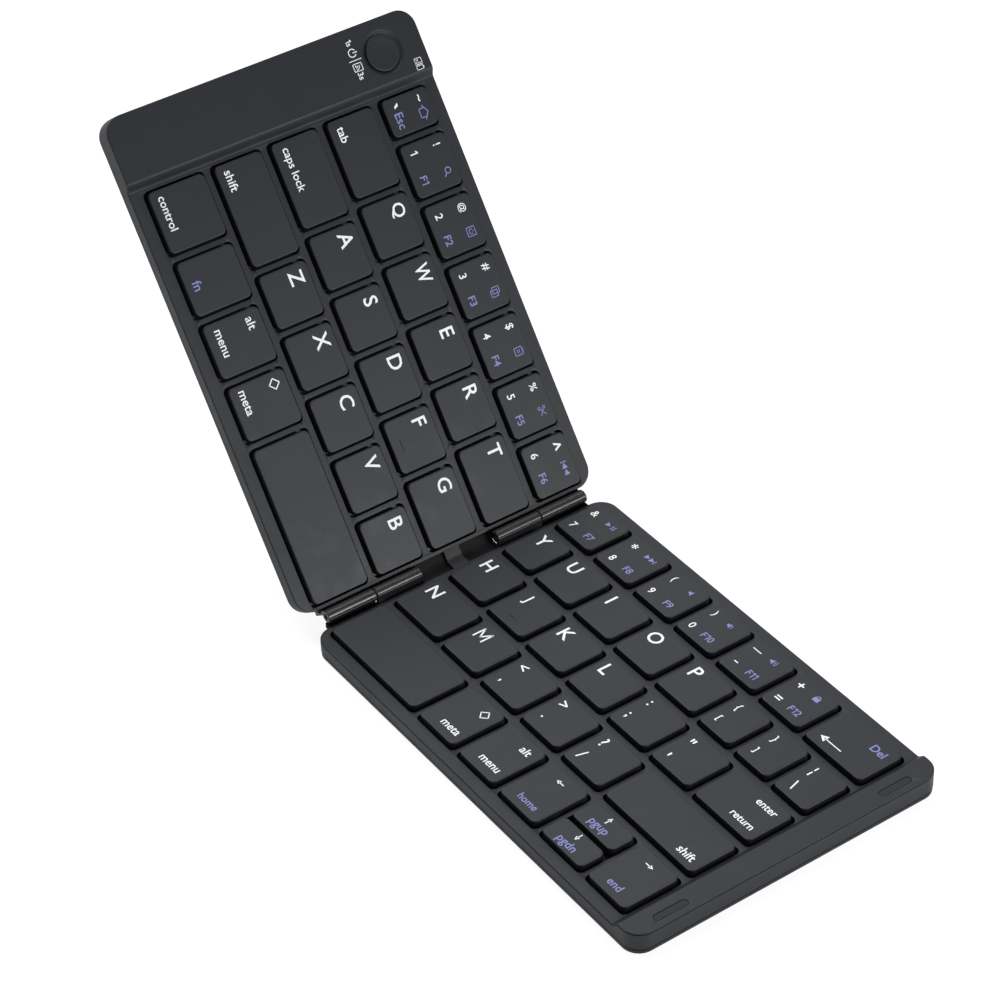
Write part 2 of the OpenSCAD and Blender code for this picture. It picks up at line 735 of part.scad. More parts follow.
module hinge_flex_strap() {
    color(rubber_color) for (layer = strap_layers) {
        right_half() strap_end(layer);
        left_half() strap_end(layer);
        right_half() translate([0, -layer[0] / 2, axis_z]) rotate([-90, 0, 0])
            rotate([0, 0, 90]) rotate_extrude(angle = raise_deg, $fn = 96)
                translate([layer[1], 0]) square([layer[2] - layer[1], layer[0]]);
    }
}

module battery() {
    color("slategray") left_half()
        prism([battery_u0, battery_u0 + battery_w, battery_y1 - battery_len, battery_y1],
              battery_r, floor_top, floor_top + battery_t);
}
module main_board() {
    color("darkgreen") left_half() {
        block_at([board_u0, board_u1, board_y0, board_y1], board_z0, board_z1);
        board_piece(button_u, button_y, switch_w, switch_w, switch_h);
        post_at(button_u, button_y, plunger_r, board_z1 + switch_h, board_z1 + switch_h + plunger_h);
        board_piece(lens_u, lens_y, lamp_w, lamp_w, lamp_h);
        board_piece(board_u0 + chip_inset, board_y0 + chip_inset, chip_w, chip_w, chip_h);
        board_piece(board_u0 + chip_inset, board_y0 + chip_inset + 2 * chip_w, chip_w, chip_w / 2, chip_h);
    }
}
module board_piece(u, y, w, d, h) {
    translate([u, y, 0]) block_at([-w / 2, w / 2, -d / 2, d / 2], board_z1, board_z1 + h);
}
module socket_outline(d) {
    w = socket_w / 2 - d;
    h = socket_h / 2 - d;
    polygon(round_box([-w, w, -h, h], h - tiny));
}
socket_z = board_z1 + socket_h / 2;
module charging_socket() {
    color("silver") left_half() translate([socket_u, 0, socket_z]) {
        difference() {
            along_y(socket_y1 - socket_d, socket_y1) socket_outline(0);
            along_y(socket_y1 - socket_d + socket_back, socket_y1 + 1) socket_outline(socket_wall);
        }
        along_y(socket_y1 - socket_d, socket_y1 - socket_back) square([tongue_w, tongue_t], center = true);
    }
}
module port_hole() {
    translate([socket_u, 0, socket_z]) along_y(half_d - wall_t - 1, half_d + 1) socket_outline(-port_clear);
}
module power_button() {
    color(cap_color) left_half() translate([button_u, button_y, 0]) {
        cylinder_between(button_r, flange_top, block_z);
        cylinder_between(button_hole_r + flange_rim, flange_top - flange_t, flange_top);
        cylinder_between(stem_r, stem_z, flange_top - flange_t);
    }
}
module cylinder_between(r, z0, z1) {
    translate([0, 0, z0]) cylinder(h = z1 - z0, r = r, $fn = 48);
}
lens_box = [lens_u - lens_w / 2, lens_u + lens_w / 2, lens_y - lens_d / 2, lens_y + lens_d / 2];
module indicator_lens() {
    color("dimgray") left_half() block_at(lens_box, block_under, block_z);
}

module key_f() {
    color(cap_color) left_half() homing_cap(left_box(2, 4));
}
module key_j() {
    color(cap_color) right_half() homing_cap(right_box(2, 1));
}
module left_number_keys() {
    for (i = [0 : 6]) left_cap(0, i);
}
module left_side_keys() {
    for (row = [1 : 4]) left_cap(row, 0);
    for (i = [1 : 3]) left_cap(4, i);
}
module right_number_keys() {
    for (i = [0 : 6]) right_cap(0, i);
}
module right_punctuation_keys() {
    for (i = [5 : 7]) right_cap(1, i);
    for (i = [4 : 5]) right_cap(2, i);
    for (i = [2 : 4]) right_cap(3, i);
}
module right_side_keys() {
    right_cap(2, 6);
    right_cap(3, 5);
    for (i = [1 : 2]) right_cap(4, i);
}
module right_arrow_keys() {
    right_cap(4, 3);
    right_cap(4, 5);
    color(cap_color) right_half() {
        cap(up_box);
        cap(down_box);
    }
}

right_bottom_cover();
right_top_frame();
right_support_plate();
right_key_membrane();
right_scissor_links();
right_screws();
right_feet();
right_stop_pads();
right_magnets();
right_hinge_knuckles();
hinge_pins();
hinge_flex_strap();
left_bottom_cover();
left_top_frame();
left_support_plate();
left_key_membrane();
left_scissor_links();
left_screws();
left_feet();
left_magnets();
left_hinge_knuckles();
battery();
main_board();
charging_socket();
power_button();
indicator_lens();
left_cap(1, 1);  // key_q
left_cap(1, 2);  // key_w
left_cap(1, 3);  // key_e
left_cap(1, 4);  // key_r
left_cap(1, 5);  // key_t
left_cap(2, 1);  // key_a
left_cap(2, 2);  // key_s
left_cap(2, 3);  // key_d
key_f();
left_cap(2, 5);  // key_g
left_cap(3, 1);  // key_z
left_cap(3, 2);  // key_x
left_cap(3, 3);  // key_c
left_cap(3, 4);  // key_v
left_cap(3, 5);  // key_b
left_cap(4, 4);  // left_space_bar
right_cap(1, 0);  // key_y
right_cap(1, 1);  // key_u
right_cap(1, 2);  // key_i
right_cap(1, 3);  // key_o
right_cap(1, 4);  // key_p
right_cap(2, 0);  // key_h
key_j();
right_cap(2, 2);  // key_k
right_cap(2, 3);  // key_l
right_cap(3, 0);  // key_n
right_cap(3, 1);  // key_m
right_cap(4, 0);  // right_space_bar
left_number_keys();
left_side_keys();
right_number_keys();
right_punctuation_keys();
right_side_keys();
right_arrow_keys();
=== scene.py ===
"""Looks of the folding keyboard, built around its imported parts."""

import json
import math
from functools import cache, partialmethod

import bmesh
import bpy
import numpy as np
from bpy.props import EnumProperty, FloatProperty, FloatVectorProperty, PointerProperty
from mathutils import Matrix, Vector
from mathutils.geometry import delaunay_2d_cdt

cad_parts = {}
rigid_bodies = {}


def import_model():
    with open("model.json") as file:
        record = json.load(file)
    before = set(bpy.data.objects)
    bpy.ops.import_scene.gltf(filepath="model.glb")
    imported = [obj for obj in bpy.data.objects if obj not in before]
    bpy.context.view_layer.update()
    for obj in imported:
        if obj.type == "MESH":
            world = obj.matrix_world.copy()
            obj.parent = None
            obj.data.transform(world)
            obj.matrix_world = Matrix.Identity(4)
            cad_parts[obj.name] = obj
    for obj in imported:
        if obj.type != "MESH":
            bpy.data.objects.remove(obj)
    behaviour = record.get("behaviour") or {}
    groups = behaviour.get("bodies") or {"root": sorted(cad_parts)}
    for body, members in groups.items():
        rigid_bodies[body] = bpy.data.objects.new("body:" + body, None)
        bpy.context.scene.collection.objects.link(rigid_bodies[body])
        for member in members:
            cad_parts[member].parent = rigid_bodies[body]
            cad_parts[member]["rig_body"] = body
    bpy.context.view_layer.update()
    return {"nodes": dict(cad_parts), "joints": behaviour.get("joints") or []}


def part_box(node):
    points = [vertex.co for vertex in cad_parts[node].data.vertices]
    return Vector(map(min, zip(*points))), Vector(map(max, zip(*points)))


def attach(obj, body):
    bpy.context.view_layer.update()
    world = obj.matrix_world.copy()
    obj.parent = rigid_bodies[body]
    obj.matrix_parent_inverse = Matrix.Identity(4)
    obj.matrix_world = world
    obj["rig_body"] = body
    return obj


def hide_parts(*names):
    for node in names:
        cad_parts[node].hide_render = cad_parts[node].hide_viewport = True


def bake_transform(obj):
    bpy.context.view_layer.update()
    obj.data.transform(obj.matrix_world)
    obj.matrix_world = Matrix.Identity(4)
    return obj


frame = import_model()

bl_info = {
    "name": "Folding Keyboard",
    "version": (1, 0, 0),
    "blender": (4, 5, 0),
    "location": "View3D > Sidebar > Keyboard",
    "description": "Caps, cases, hinge, legends and finishes of a keyboard that folds in half",
    "category": "Object",
}

MM = 0.001

# The fold: both halves are written lying flat, in millimetres. u runs outward from the
# hinge axis, y from front to back and z up from the table.
FOLD = next(joint for joint in frame["joints"] if joint["name"] == "fold")
HINGE = Vector(FOLD["pos_m"])
RAISE = -math.radians(FOLD["range_deg"][0])
AXIS_Z = HINGE.z / MM
TO_FRAME = {
    "right": Matrix.Translation((HINGE.x, 0, 0)) @ Matrix.Diagonal((MM, MM, MM, 1)),
    "left": Matrix.Translation(HINGE)
    @ Matrix.Rotation(RAISE, 4, "Y")
    @ Matrix.Translation((0, 0, -HINGE.z))
    @ Matrix.Diagonal((-MM, MM, MM, 1)),
}

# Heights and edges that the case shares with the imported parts
FLOOR_Z = 0.15
FLOOR_TOP = 1.15
SPLIT_Z = 1.6
PLATE_Z = 1.75
PLATE_TOP = 2.15
CAP_BASE = 4.25
DECK_Z = 5.15
CAP_TOP = 6.65
BLOCK_Z = 6.8
HALF_D = 46.3
HINGE_U = 2.05
END_U = 136.7
SLOPE = {"left": (117.3, 119.75), "right": (127.87, 130.2)}
KNUCKLES = {"right": (12.0, 25.9), "left": (26.2, 40.8)}
KNUCKLE_R = 1.7
SHEET_Y = 11.95
FOOT_PLACES = [(u, y) for u in (12.05, 123.7) for y in (-39.8, 39.8)]
SCREWS = [(11.05 + k * (132.2 - 11.05) / 3, y) for k in range(4) for y in (-43.75, 43.75)]
BRACKET_SCREW_U = 6.65
BUTTON = (127.6, 34.2)
LENS_BOX = (120.0, 123.2, 41.9, 43.7)
PADS = [(133.9, -33.75), (133.9, 33.75)]
PORT = (126.35, 3.75)
PORT_SIZE = (8.1, 3.2)
# Heights that tell a cap from its details and, seen from above, a half cap from a whole one
CAP_HEIGHT_MIN = 1
SHALLOW_CAP = 10
# Angles in degrees from which an edge is shaded sharp, on cases and on round parts
FLAT_SHARP, ROUND_SHARP = 32.0, 40.0


def measures(context, *names):
    """Some of the sizes, in millimetres."""
    return [getattr(context.scene.keyboard_sizes, name) / MM for name in names]


def length(name, description, default):
    return FloatProperty(
        name=name, description=description, default=default * MM, min=0, unit="LENGTH", precision=5
    )


def tone(name, description, default):
    return FloatVectorProperty(
        name=name, description=description, default=default, size=3, min=0, max=1, subtype="COLOR"
    )


def amount(name, description, default):
    return FloatProperty(
        name=name, description=description, default=default, min=0, max=1, subtype="FACTOR"
    )


class KEYBOARD_PG_sizes(bpy.types.PropertyGroup):
    """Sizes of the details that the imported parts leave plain"""

    corner: length("Corner", "Corner radius of each half, seen from above", 5)
    wall: length("Wall", "Thickness of the side walls", 1)
    deck: length("Deck", "Thickness of the deck around the caps", 1.2)
    top_edge: length("Top Edge", "Radius of the top frame's upper edge", 0.2)
    seam: length("Seam", "Width of the seams around the case", 0.26)
    seam_drop: length("Seam Drop", "Distance from the deck down to the seam", 0.3)
    seam_depth: length("Seam Depth", "Depth of the seams", 0.28)
    lip: length("Bottom Lip", "Radius of the bottom cover's lower edge", 0.4)
    cover_inset: length("Cover Inset", "How far the bottom cover stands in", 0.1)
    cap_corner: length("Cap Corner", "Corner radius of a key cap", 1.5)
    cap_edge: length("Cap Edge", "Radius of a cap's upper edge", 0.27)
    cap_wall: length("Cap Wall", "Thickness of a cap's skirt", 0.9)
    cap_skin: length("Cap Skin", "Thickness of a cap's top", 0.8)
    window_gap: length("Window Gap", "Gap between a cap and its window", 0.62)
    window_edge: length("Window Edge", "Bevel around a window", 0.1)
    ink_lift: length("Ink", "Thickness of the printed legends", 0.02)
    button: length("Button", "Radius of the power button", 4.9)
    button_hole: length("Button Hole", "Radius of the power button's hole", 5.05)
    dish: length("Dish", "Radius of the dish around the power button", 6)
    dish_depth: length("Dish Depth", "Depth of the dish around the power button", 0.5)
    pad_width: length("Pad Width", "Width of a stop pad's slot", 2.1)
    pad_length: length("Pad Length", "Length of a stop pad's slot", 9.8)
    foot_length: length("Foot Length", "Length of a foot", 14)
    foot_width: length("Foot Width", "Width of a foot", 5)
    bore: length("Bore", "Radius of the bore through the knuckles", 0.78)
    groove: length("Groove", "Width of the grooves along a knuckle", 0.3)
    bracket: length("Bracket", "Thickness of a knuckle's bracket", 1.2)


class KEYBOARD_PG_finishes(bpy.types.PropertyGroup):
    """Colours and surfaces of the materials"""

    case: tone("Case", "Moulded case", (0.0122, 0.0136, 0.0172))
    cap: tone("Caps", "Tops of the key caps", (0.0136, 0.0151, 0.0188))
    # Near-black tone: painted shade on the caps' sides and in their windows' gaps, and, halved, the
    # seam shadow
    shade: tone("Cap Sides", "Sides of the caps and of their windows", (0.004, 0.0042, 0.0048))
    knuckle: tone("Knuckles", "Hinge knuckles", (0.012, 0.012, 0.013))
    strap: tone("Strap", "Flexible strap in the hinge", (0.018, 0.0165, 0.016))
    rubber: tone("Rubber", "Feet and stop pads", (0.012, 0.0125, 0.0135))
    film: tone("Film", "Switch membranes and links", (0.006, 0.006, 0.0065))
    steel: tone("Steel", "Plates, pins and screws", (0.47, 0.475, 0.48))
    magnet: tone("Magnets", "Nickel on the closing magnets", (0.6, 0.59, 0.56))
    battery: tone("Battery", "Foil around the battery", (0.33, 0.34, 0.36))
    board: tone("Board", "Solder mask on the main board", (0.01, 0.09, 0.04))
    lens: tone("Lens", "Indicator lens", (0.008, 0.008, 0.009))
    ink: tone("Legends", "White legends", (0.82, 0.82, 0.83))
    function_ink: tone("Function Legends", "Second legends", (0.19, 0.205, 0.46))
    floor: tone("Floor", "Studio floor", (0.8, 0.8, 0.8))
    case_rough: amount("Case Roughness", "Roughness of the moulded plastic", 0.5)
    grain: amount("Grain", "Strength of the moulded grain", 0.35)


# Shader maths


class Link:
    """An output of a node, which adds Math nodes as it is used in an expression."""

    def __init__(self, tree, socket):
        self.tree, self.socket = tree, socket

    def calculate(self, other, operation, reflected=False):
        node = self.tree.nodes.new("ShaderNodeMath")
        node.operation = operation
        values = (other, self) if reflected else (self, other)
        for slot, value in zip(node.inputs, values):
            feed(self.tree, slot, value)
        return Link(self.tree, node.outputs[0])

    __add__ = __radd__ = partialmethod(calculate, operation="ADD")
    __sub__ = partialmethod(calculate, operation="SUBTRACT")
    __rsub__ = partialmethod(calculate, operation="SUBTRACT", reflected=True)
    __mul__ = __rmul__ = partialmethod(calculate, operation="MULTIPLY")
    __truediv__ = partialmethod(calculate, operation="DIVIDE")
    __rtruediv__ = partialmethod(calculate, operation="DIVIDE", reflected=True)

    def limited(self):
        result = self + 0
        result.socket.node.use_clamp = True
        return result


def feed(tree, slot, value):
    """Links a value to an input, or stores it there."""
    if isinstance(value, Link):
        tree.links.new(value.socket, slot)
    elif hasattr(value, "__len__") and len(value) == 3 and len(slot.default_value) == 4:
        slot.default_value = (*value, 1)
    else:
        slot.default_value = value


class Shader:
    """The node tree of a material or world while it is put together."""

    def __init__(self, owner):
        owner.use_nodes = True
        self.tree = owner.node_tree
        self.tree.nodes.clear()

    def node(self, kind, output="at_0", settings=None, **inputs):
        """Adds a node and returns one of its outputs, if it has any. Settings are set first. A
        socket's name has _ for a space, or is at_ and its number."""
        node = self.tree.nodes.new("ShaderNode" + kind)
        for name, value in (settings or {}).items():
            setattr(node, name, value)
        for name, value in inputs.items():
            feed(self.tree, self.find(node.inputs, name), value)
        return Link(self.tree, self.find(node.outputs, output)) if node.outputs else None

    @staticmethod
    def find(sockets, name):
        if name.startswith("at_"):
            return sockets[int(name[3:])]
        wanted = name.replace("_", " ")
        return next(s for s in sockets if s.name == wanted and s.enabled)

    def place(self):
        """Where a point lies on the object, in metres."""
        return self.node("TexCoord", "Object")

    def noise(self, scale, detail, roughness, where=None, distortion=0.0):
        where = where or self.place()
        inputs = {"Vector": where, "Scale": scale, "Detail": detail, "Roughness": roughness}
        return self.node("TexNoise", Distortion=distortion, **inputs)

    def spread(self, value, low, high):
        """Maps a value between low and high to 0 to 1."""
        return ((value - low) / (high - low)).limited()

    def mix(self, factor, first, second):
        settings = {"data_type": "RGBA"}
        return self.node("Mix", "Result", settings, Factor=factor, A=first, B=second)

    def tinted(self, shade, value, swing):
        """A colour that gets lighter and darker with a value around one half."""
        return self.mix(value, *([c * (1 + way * swing) for c in shade] for way in (-1, 1)))

    def bump(self, height, distance, strength):
        return self.node("Bump", "Normal", Height=height, Distance=distance, Strength=strength)

    def surface(self, shader, kind="OutputMaterial"):
        self.node(kind, Surface=shader)


def principled(name, recipe, *settings):
    """A material, from a recipe that gives the inputs of its main shader."""
    shader = Shader(bpy.data.materials.new(name))
    shader.surface(shader.node("BsdfPrincipled", **recipe(shader, *settings)))


def moulded(shader, shade, rough, grain, scale=3200.0, specular=0.32):
    """Moulded plastic: fine spark-eroded grain, faint flow marks and a few rubbed patches."""
    where = shader.place()
    fine = shader.noise(scale, 3.0, 0.65, where)
    soft = shader.noise(scale / 5, 2.0, 0.5, where)
    flow = shader.noise(38.0, 3.0, 0.55, where, 0.4)
    rubbed = shader.spread(shader.noise(120.0, 4.0, 0.6, where), 0.52, 0.72)
    varied = rough + (flow - 0.5) * 0.12 - rubbed * 0.05 + (fine - 0.5) * 0.1
    return {
        "Base_Color": shader.tinted(shade, flow * 0.7 + fine * 0.3, 0.05),
        "Roughness": varied.limited(),
        "Normal": shader.bump(fine * 0.7 + soft * 0.6, 2.2e-5, grain),
        "Specular_IOR_Level": specular,
    }


def rubber(shader, shade, rough):
    """Soft rubber: powdery bloom over a fine matt skin."""
    where = shader.place()
    skin = shader.noise(2600.0, 3.0, 0.6, where)
    bloom = shader.spread(shader.noise(180.0, 4.0, 0.6, where), 0.35, 0.75)
    return {
        "Base_Color": shader.mix(bloom * 0.5, shade, [c * 1.7 + 0.004 for c in shade]),
        "Roughness": (rough + bloom * 0.12 + (skin - 0.5) * 0.08).limited(),
        "Normal": shader.bump(skin, 2.5e-5, 0.45),
        "Specular_IOR_Level": 0.35,
    }


def metal(shader, shade, rough, stretch=(1, 1, 1), brushed=0.25):
    """Metal with fine lines from rolling or turning and a few dull spots."""
    place = shader.place()
    drawn = shader.node("Mapping", "Vector", Vector=place, Scale=stretch)
    lines = shader.noise(900.0, 4.0, 0.7, drawn)
    dull = shader.spread(shader.noise(260.0, 3.0, 0.6, place), 0.5, 0.8)
    return {
        "Base_Color": shader.tinted(shade, lines * 0.6 + dull * 0.2, 0.1),
        "Roughness": (rough + (lines - 0.5) * brushed + dull * 0.1).limited(),
        "Normal": shader.bump(lines, 8e-6, 0.4),
        "Metallic": 1.0,
    }


def ink(shader, shade):
    """Screen-printed ink with slightly broken cover."""
    cover = shader.noise(5200.0, 2.0, 0.6)
    rough = 0.5 + (cover - 0.5) * 0.2
    return {"Base_Color": shader.tinted(shade, cover, 0.12), "Roughness": rough}


def film(shader, shade):
    """Printed film: faint tracks under a satin skin."""
    where = shader.place()
    tracks = shader.node("TexBrick", "Fac", Vector=where, Scale=240.0)
    haze = shader.noise(300.0, 3.0, 0.6, where)
    return {
        "Base_Color": shader.mix(tracks * 0.4, shade, [c * 2.2 for c in shade]),
        "Roughness": (0.42 + (haze - 0.5) * 0.2).limited(),
        "Normal": shader.bump(tracks, 1e-5, 0.4),
    }


def board(shader, shade):
    """Green solder mask with copper tracks showing through it."""
    where = shader.place()
    tracks = shader.node("TexBrick", "Fac", Vector=where, Scale=700.0)
    haze = shader.noise(500.0, 3.0, 0.6, where)
    return {
        "Base_Color": shader.mix(tracks, shade, [c * 1.8 + 0.01 for c in shade]),
        "Roughness": (0.3 + (haze - 0.5) * 0.15).limited(),
        "Normal": shader.bump(tracks, 2e-5, 0.6),
    }


def lens(shader, shade):
    """Smoked window, polished with a few fine swirls."""
    swirls = shader.noise(900.0, 5.0, 0.7)
    return {
        "Base_Color": shader.tinted(shade, swirls, 0.15),
        "Roughness": (0.12 + (swirls - 0.5) * 0.12).limited(),
        "Coat_Weight": 0.6,
    }


# Shapes in plan


def arc(u, y, radius, start, steps, turn=90.0):
    """Points along an arc, from start in degrees."""
    angles = [math.radians(start + turn * k / steps) for k in range(steps + 1)]
    return [(u + radius * math.cos(a), y + radius * math.sin(a)) for a in angles]


def rounded(box, r, steps=6):
    """A rounded rectangle, counterclockwise from its outer back corner."""
    u0, u1, y0, y1 = box
    return (
        arc(u1 - r, y1 - r, r, 0, steps)
        + arc(u0 + r, y1 - r, r, 90, steps)
        + arc(u0 + r, y0 + r, r, 180, steps)
        + arc(u1 - r, y0 + r, r, 270, steps)
    )


def circle(u, y, radius, count):
    return arc(u, y, radius, 0, count, 360.0)[:-1]


def grown(box, by):
    u0, u1, y0, y1 = box
    return (u0 - by, u1 + by, y0 - by, y1 + by)


class HalfPlan:
    """One half seen from above, with extra points where its long sides climb to the block."""

    corner_steps = slope_steps = 10
    # The share of a straight climb in the slope, and the width of the edge that supports it
    straight, support = 0.3, 0.1

    def __init__(self, half, corner):
        self.start, self.end = SLOPE[half]
        self.corner = corner
        share = [k / self.slope_steps for k in range(self.slope_steps + 1)]
        self.slope_us = [self.start + (self.end - self.start) * t for t in share]
        self.slope_us.append(self.end + self.support)

    def height(self, u):
        """The top surface's height: deck, a soft S along the slope, then block."""
        t = min(1.0, max(0.0, (u - self.start) / (self.end - self.start)))
        eased = self.straight * t + (1 - self.straight) * t * t * (3 - 2 * t)
        return DECK_Z + (BLOCK_Z - DECK_Z) * eased

    def points(self, inset):
        r, n = self.corner - inset, self.corner_steps
        u0, u1 = HINGE_U + inset, END_U - inset
        y1 = HALF_D - inset
        return (
            arc(u1 - r, y1 - r, r, 0, n)
            + [(u, y1) for u in reversed(self.slope_us)]
            + arc(u0 + r, y1 - r, r, 90, n)
            + arc(u0 + r, -y1 + r, r, 180, n)
            + [(u, -y1) for u in self.slope_us]
            + arc(u1 - r, -y1 + r, r, 270, n)
        )

    def split(self, ring):
        """The ring's points around the deck, at the back and front of the slope, and around
        the block."""
        corner, slope = self.corner_steps + 1, self.slope_steps + 2
        back = ring[corner : corner + slope]
        front = ring[3 * corner + slope : 3 * corner + 2 * slope]
        deck = ring[corner + slope - 1 : 3 * corner + slope + 1]
        block = ring[3 * corner + 2 * slope - 1 :] + ring[: corner + 1]
        return deck, back, front, block


# Meshes


class Form:
    """A piece's mesh while it is built in its half's own millimetres."""

    def __init__(self, half):
        self.half = half
        self.bm = bmesh.new()
        self.prints = []

    def ring(self, points, z):
        """New vertices on points in plan, at one height or at a height for each u."""
        level = z if callable(z) else lambda u: z
        return [self.bm.verts.new((u, y, level(u))) for u, y in points]

    def bridge(self, lower, upper, finish=0, closed=True):
        count = len(lower)
        for k in range(count if closed else count - 1):
            n = (k + 1) % count
            quad = [lower[k], lower[n], upper[n], upper[k]]
            self.bm.faces.new(quad).material_index = finish

    def chain(self, rings, finishes=0):
        """Bridges each ring to the next. finishes is one number or one for each strip."""
        for k, (a, b) in enumerate(zip(rings, rings[1:])):
            self.bridge(a, b, finishes[k] if hasattr(finishes, "__len__") else finishes)

    def lid(self, ring, finish=0):
        self.bm.faces.new(ring).material_index = finish

    def solid(self, rings, finish=0):
        """A closed body: each ring bridged to the next, and a lid at both ends."""
        self.chain(rings, finish)
        self.lid(rings[0], finish)
        self.lid(rings[-1], finish)

    def rims(self, box, radius, rows, steps=6):
        """Rings around a rounded box, for each row grown by a length and at a height."""
        return [self.ring(rounded(grown(box, by), radius + by, steps), z) for by, z in rows]

    def pave(self, loops, finish=0):
        """Fills a flat area between an outer loop and the holes in it."""
        verts = [v for loop in loops for v in loop]
        edges, first = [], 0
        for loop in loops:
            count = len(loop)
            edges += [(first + k, first + (k + 1) % count) for k in range(count)]
            first += count
        flat = [Vector((v.co.x, v.co.y)) for v in verts]
        _, _, triangles, origins, _, _ = delaunay_2d_cdt(flat, edges, [], 0, 1e-6)
        corners = [[verts[origins[k][0]] for k in each] for each in triangles]
        middles = np.array([[sum(v.co[k] for v in each) / 3 for k in (0, 1)] for each in corners])
        us, ys = middles.T
        inside = np.zeros(len(middles), bool)
        for a, b in edges:
            (u0, y0), (u1, y1) = flat[a], flat[b]
            if y0 != y1:
                crossing = (u1 - u0) * (ys - y0) / (y1 - y0) + u0
                inside ^= ((y0 > ys) != (y1 > ys)) & (us < crossing)
        for each, kept in zip(corners, inside):
            if kept:
                self.bm.faces.new(each).material_index = finish

    def tube(self, u, y, profile, finish=0, count=24):
        """A closed post from rings of (radius, z)."""
        self.solid([self.ring(circle(u, y, r, count), z) for r, z in profile], finish)

    def bar(self, profile, y0, y1, edge, finish=0, hole=None):
        """Extrudes a (u, z) profile along y, with its end edges drawn in towards centre."""
        centre = hole[0] if hole else [sum(c) / len(profile) for c in zip(*profile)]

        def section(points, y, drawn):
            made = []
            for u, z in points:
                away = Vector((u - centre[0], z - centre[1]))
                away *= max(0.0, 1 - drawn / max(away.length, 1e-6))
                made.append(self.bm.verts.new((centre[0] + away.x, y, centre[1] + away.y)))
            return made

        levels = [(y0, edge), (y0 + edge, 0.0), (y1 - edge, 0.0), (y1, edge)]
        rings = [section(profile, y, drawn) for y, drawn in levels]
        if not hole:
            self.solid(rings, finish)
            return
        (cu, cz), radius = hole
        angles = [math.atan2(z - cz, u - cu) for u, z in profile]
        inner = [(cu + radius * math.cos(a), cz + radius * math.sin(a)) for a in angles]
        bores = [section(inner, y, 0.0) for y in (y0, y1)]
        self.chain(rings, finish)
        self.chain([rings[0], *bores, rings[-1]], finish)

    def print_on(self, faces, z, finish):
        """Adds flat printed faces, each a list of points in plan."""
        self.prints += [([(u, y, z) for u, y in face], finish) for face in faces]

    def make_half(self, name, finishes, slot, node, sharp=FLAT_SHARP):
        """A piece that rides on its own half, whose name comes before the given names."""
        half = self.half + "_"
        return self.make(half + name, finishes, half + "half", slot, half + node, sharp)

    def make(self, name, finishes, body, slot, node, sharp=FLAT_SHARP):
        """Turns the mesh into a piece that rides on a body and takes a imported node's place."""
        to_frame = TO_FRAME[self.half]
        bmesh.ops.transform(self.bm, matrix=to_frame, verts=self.bm.verts)
        bmesh.ops.recalc_face_normals(self.bm, faces=self.bm.faces)
        for points, finish in self.prints:
            face = self.bm.faces.new([self.bm.verts.new(to_frame @ Vector(p)) for p in points])
            face.material_index = finish
        piece = plant(self.bm, name)
        for each in finishes:
            piece.data.materials.append(bpy.data.materials[each])
        smooth(piece, sharp)
        if body:
            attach(piece, body)
        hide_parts(node)
        return piece


def plant(bm, name):
    """An object in the scene from a finished mesh."""
    mesh = bpy.data.meshes.new(name)
    bm.to_mesh(mesh)
    bm.free()
    planted = bpy.data.objects.new(name, mesh)
    bpy.context.scene.collection.objects.link(planted)
    return planted


def smooth(piece, sharp=FLAT_SHARP):
    """Smooth shading with sharp edges above an angle in degrees."""
    bm = bmesh.new()
    bm.from_mesh(piece.data)
    limit = math.radians(sharp)
    for face in bm.faces:
        face.smooth = True
    for edge in bm.edges:
        edge.smooth = len(edge.link_faces) == 2 and edge.calc_face_angle(0) < limit
    bm.to_mesh(piece.data)
    bm.free()
    weighted = piece.modifiers.new("Shading", "WEIGHTED_NORMAL")
    weighted.keep_sharp = True
    weighted.weight = 80


def fillet(radius, steps):
    """(inset, drop) steps around a quarter turn, from the side up to the top."""
    angles = [math.pi / 2 * k / steps for k in range(steps + 1)]
    return [(radius * (1 - math.cos(a)), radius * (1 - math.sin(a))) for a in angles]


# Legends: each is drawn in millimetres around its own middle, reading to the right


def stroke(points, width, closed=False):
    """A drawn line: one quad for each stretch, a little longer at both ends."""
    faces = []
    for (x0, y0), (x1, y1) in zip(points, points[1:] + points[:1] if closed else points[1:]):
        size = math.hypot(x1 - x0, y1 - y0)
        ex, ey = (x1 - x0) / size * width / 2, (y1 - y0) / size * width / 2
        quad = [(x0 - ex * 0.5 + ey, y0 - ey * 0.5 - ex), (x1 + ex * 0.5 + ey, y1 + ey * 0.5 - ex)]
        quad += [(x1 + ex * 0.5 - ey, y1 + ey * 0.5 + ex), (x0 - ex * 0.5 - ey, y0 - ey * 0.5 + ex)]
        faces.append(quad)
    return faces


def dash(width, x0, y0, x1, y1):
    return stroke([(x0, y0), (x1, y1)], width)


def hoop(x, y, radius, width, start=0.0, turn=360.0, steps=16):
    outer = arc(x, y, radius + width / 2, start, steps, turn)
    inner = arc(x, y, radius - width / 2, start, steps, turn)
    return [[inner[k], outer[k], outer[k + 1], inner[k + 1]] for k in range(steps)]


def speaker(x, waves):
    """A loudspeaker with a number of waves, moved along by x."""
    faces = [[(-1.5, -0.35), (-1.0, -0.35), (-1.0, 0.35), (-1.5, 0.35)]]
    faces.append([(-1.0, -0.35), (-0.3, -0.95), (-0.3, 0.95), (-1.0, 0.35)])
    for k in range(waves):
        faces += hoop(-0.7, 0, 0.95 + 0.55 * k, 0.22, -38, 76, 6)
    return [[(u + x, y) for u, y in face] for face in faces]


def triangle(x, way=1):
    size = 1.7
    tail, tip = x - way * size * 0.45, x + way * size * 0.45
    points = [(tail, -size / 2), (tip, 0), (tail, size / 2)]
    return [points if way > 0 else points[::-1]]


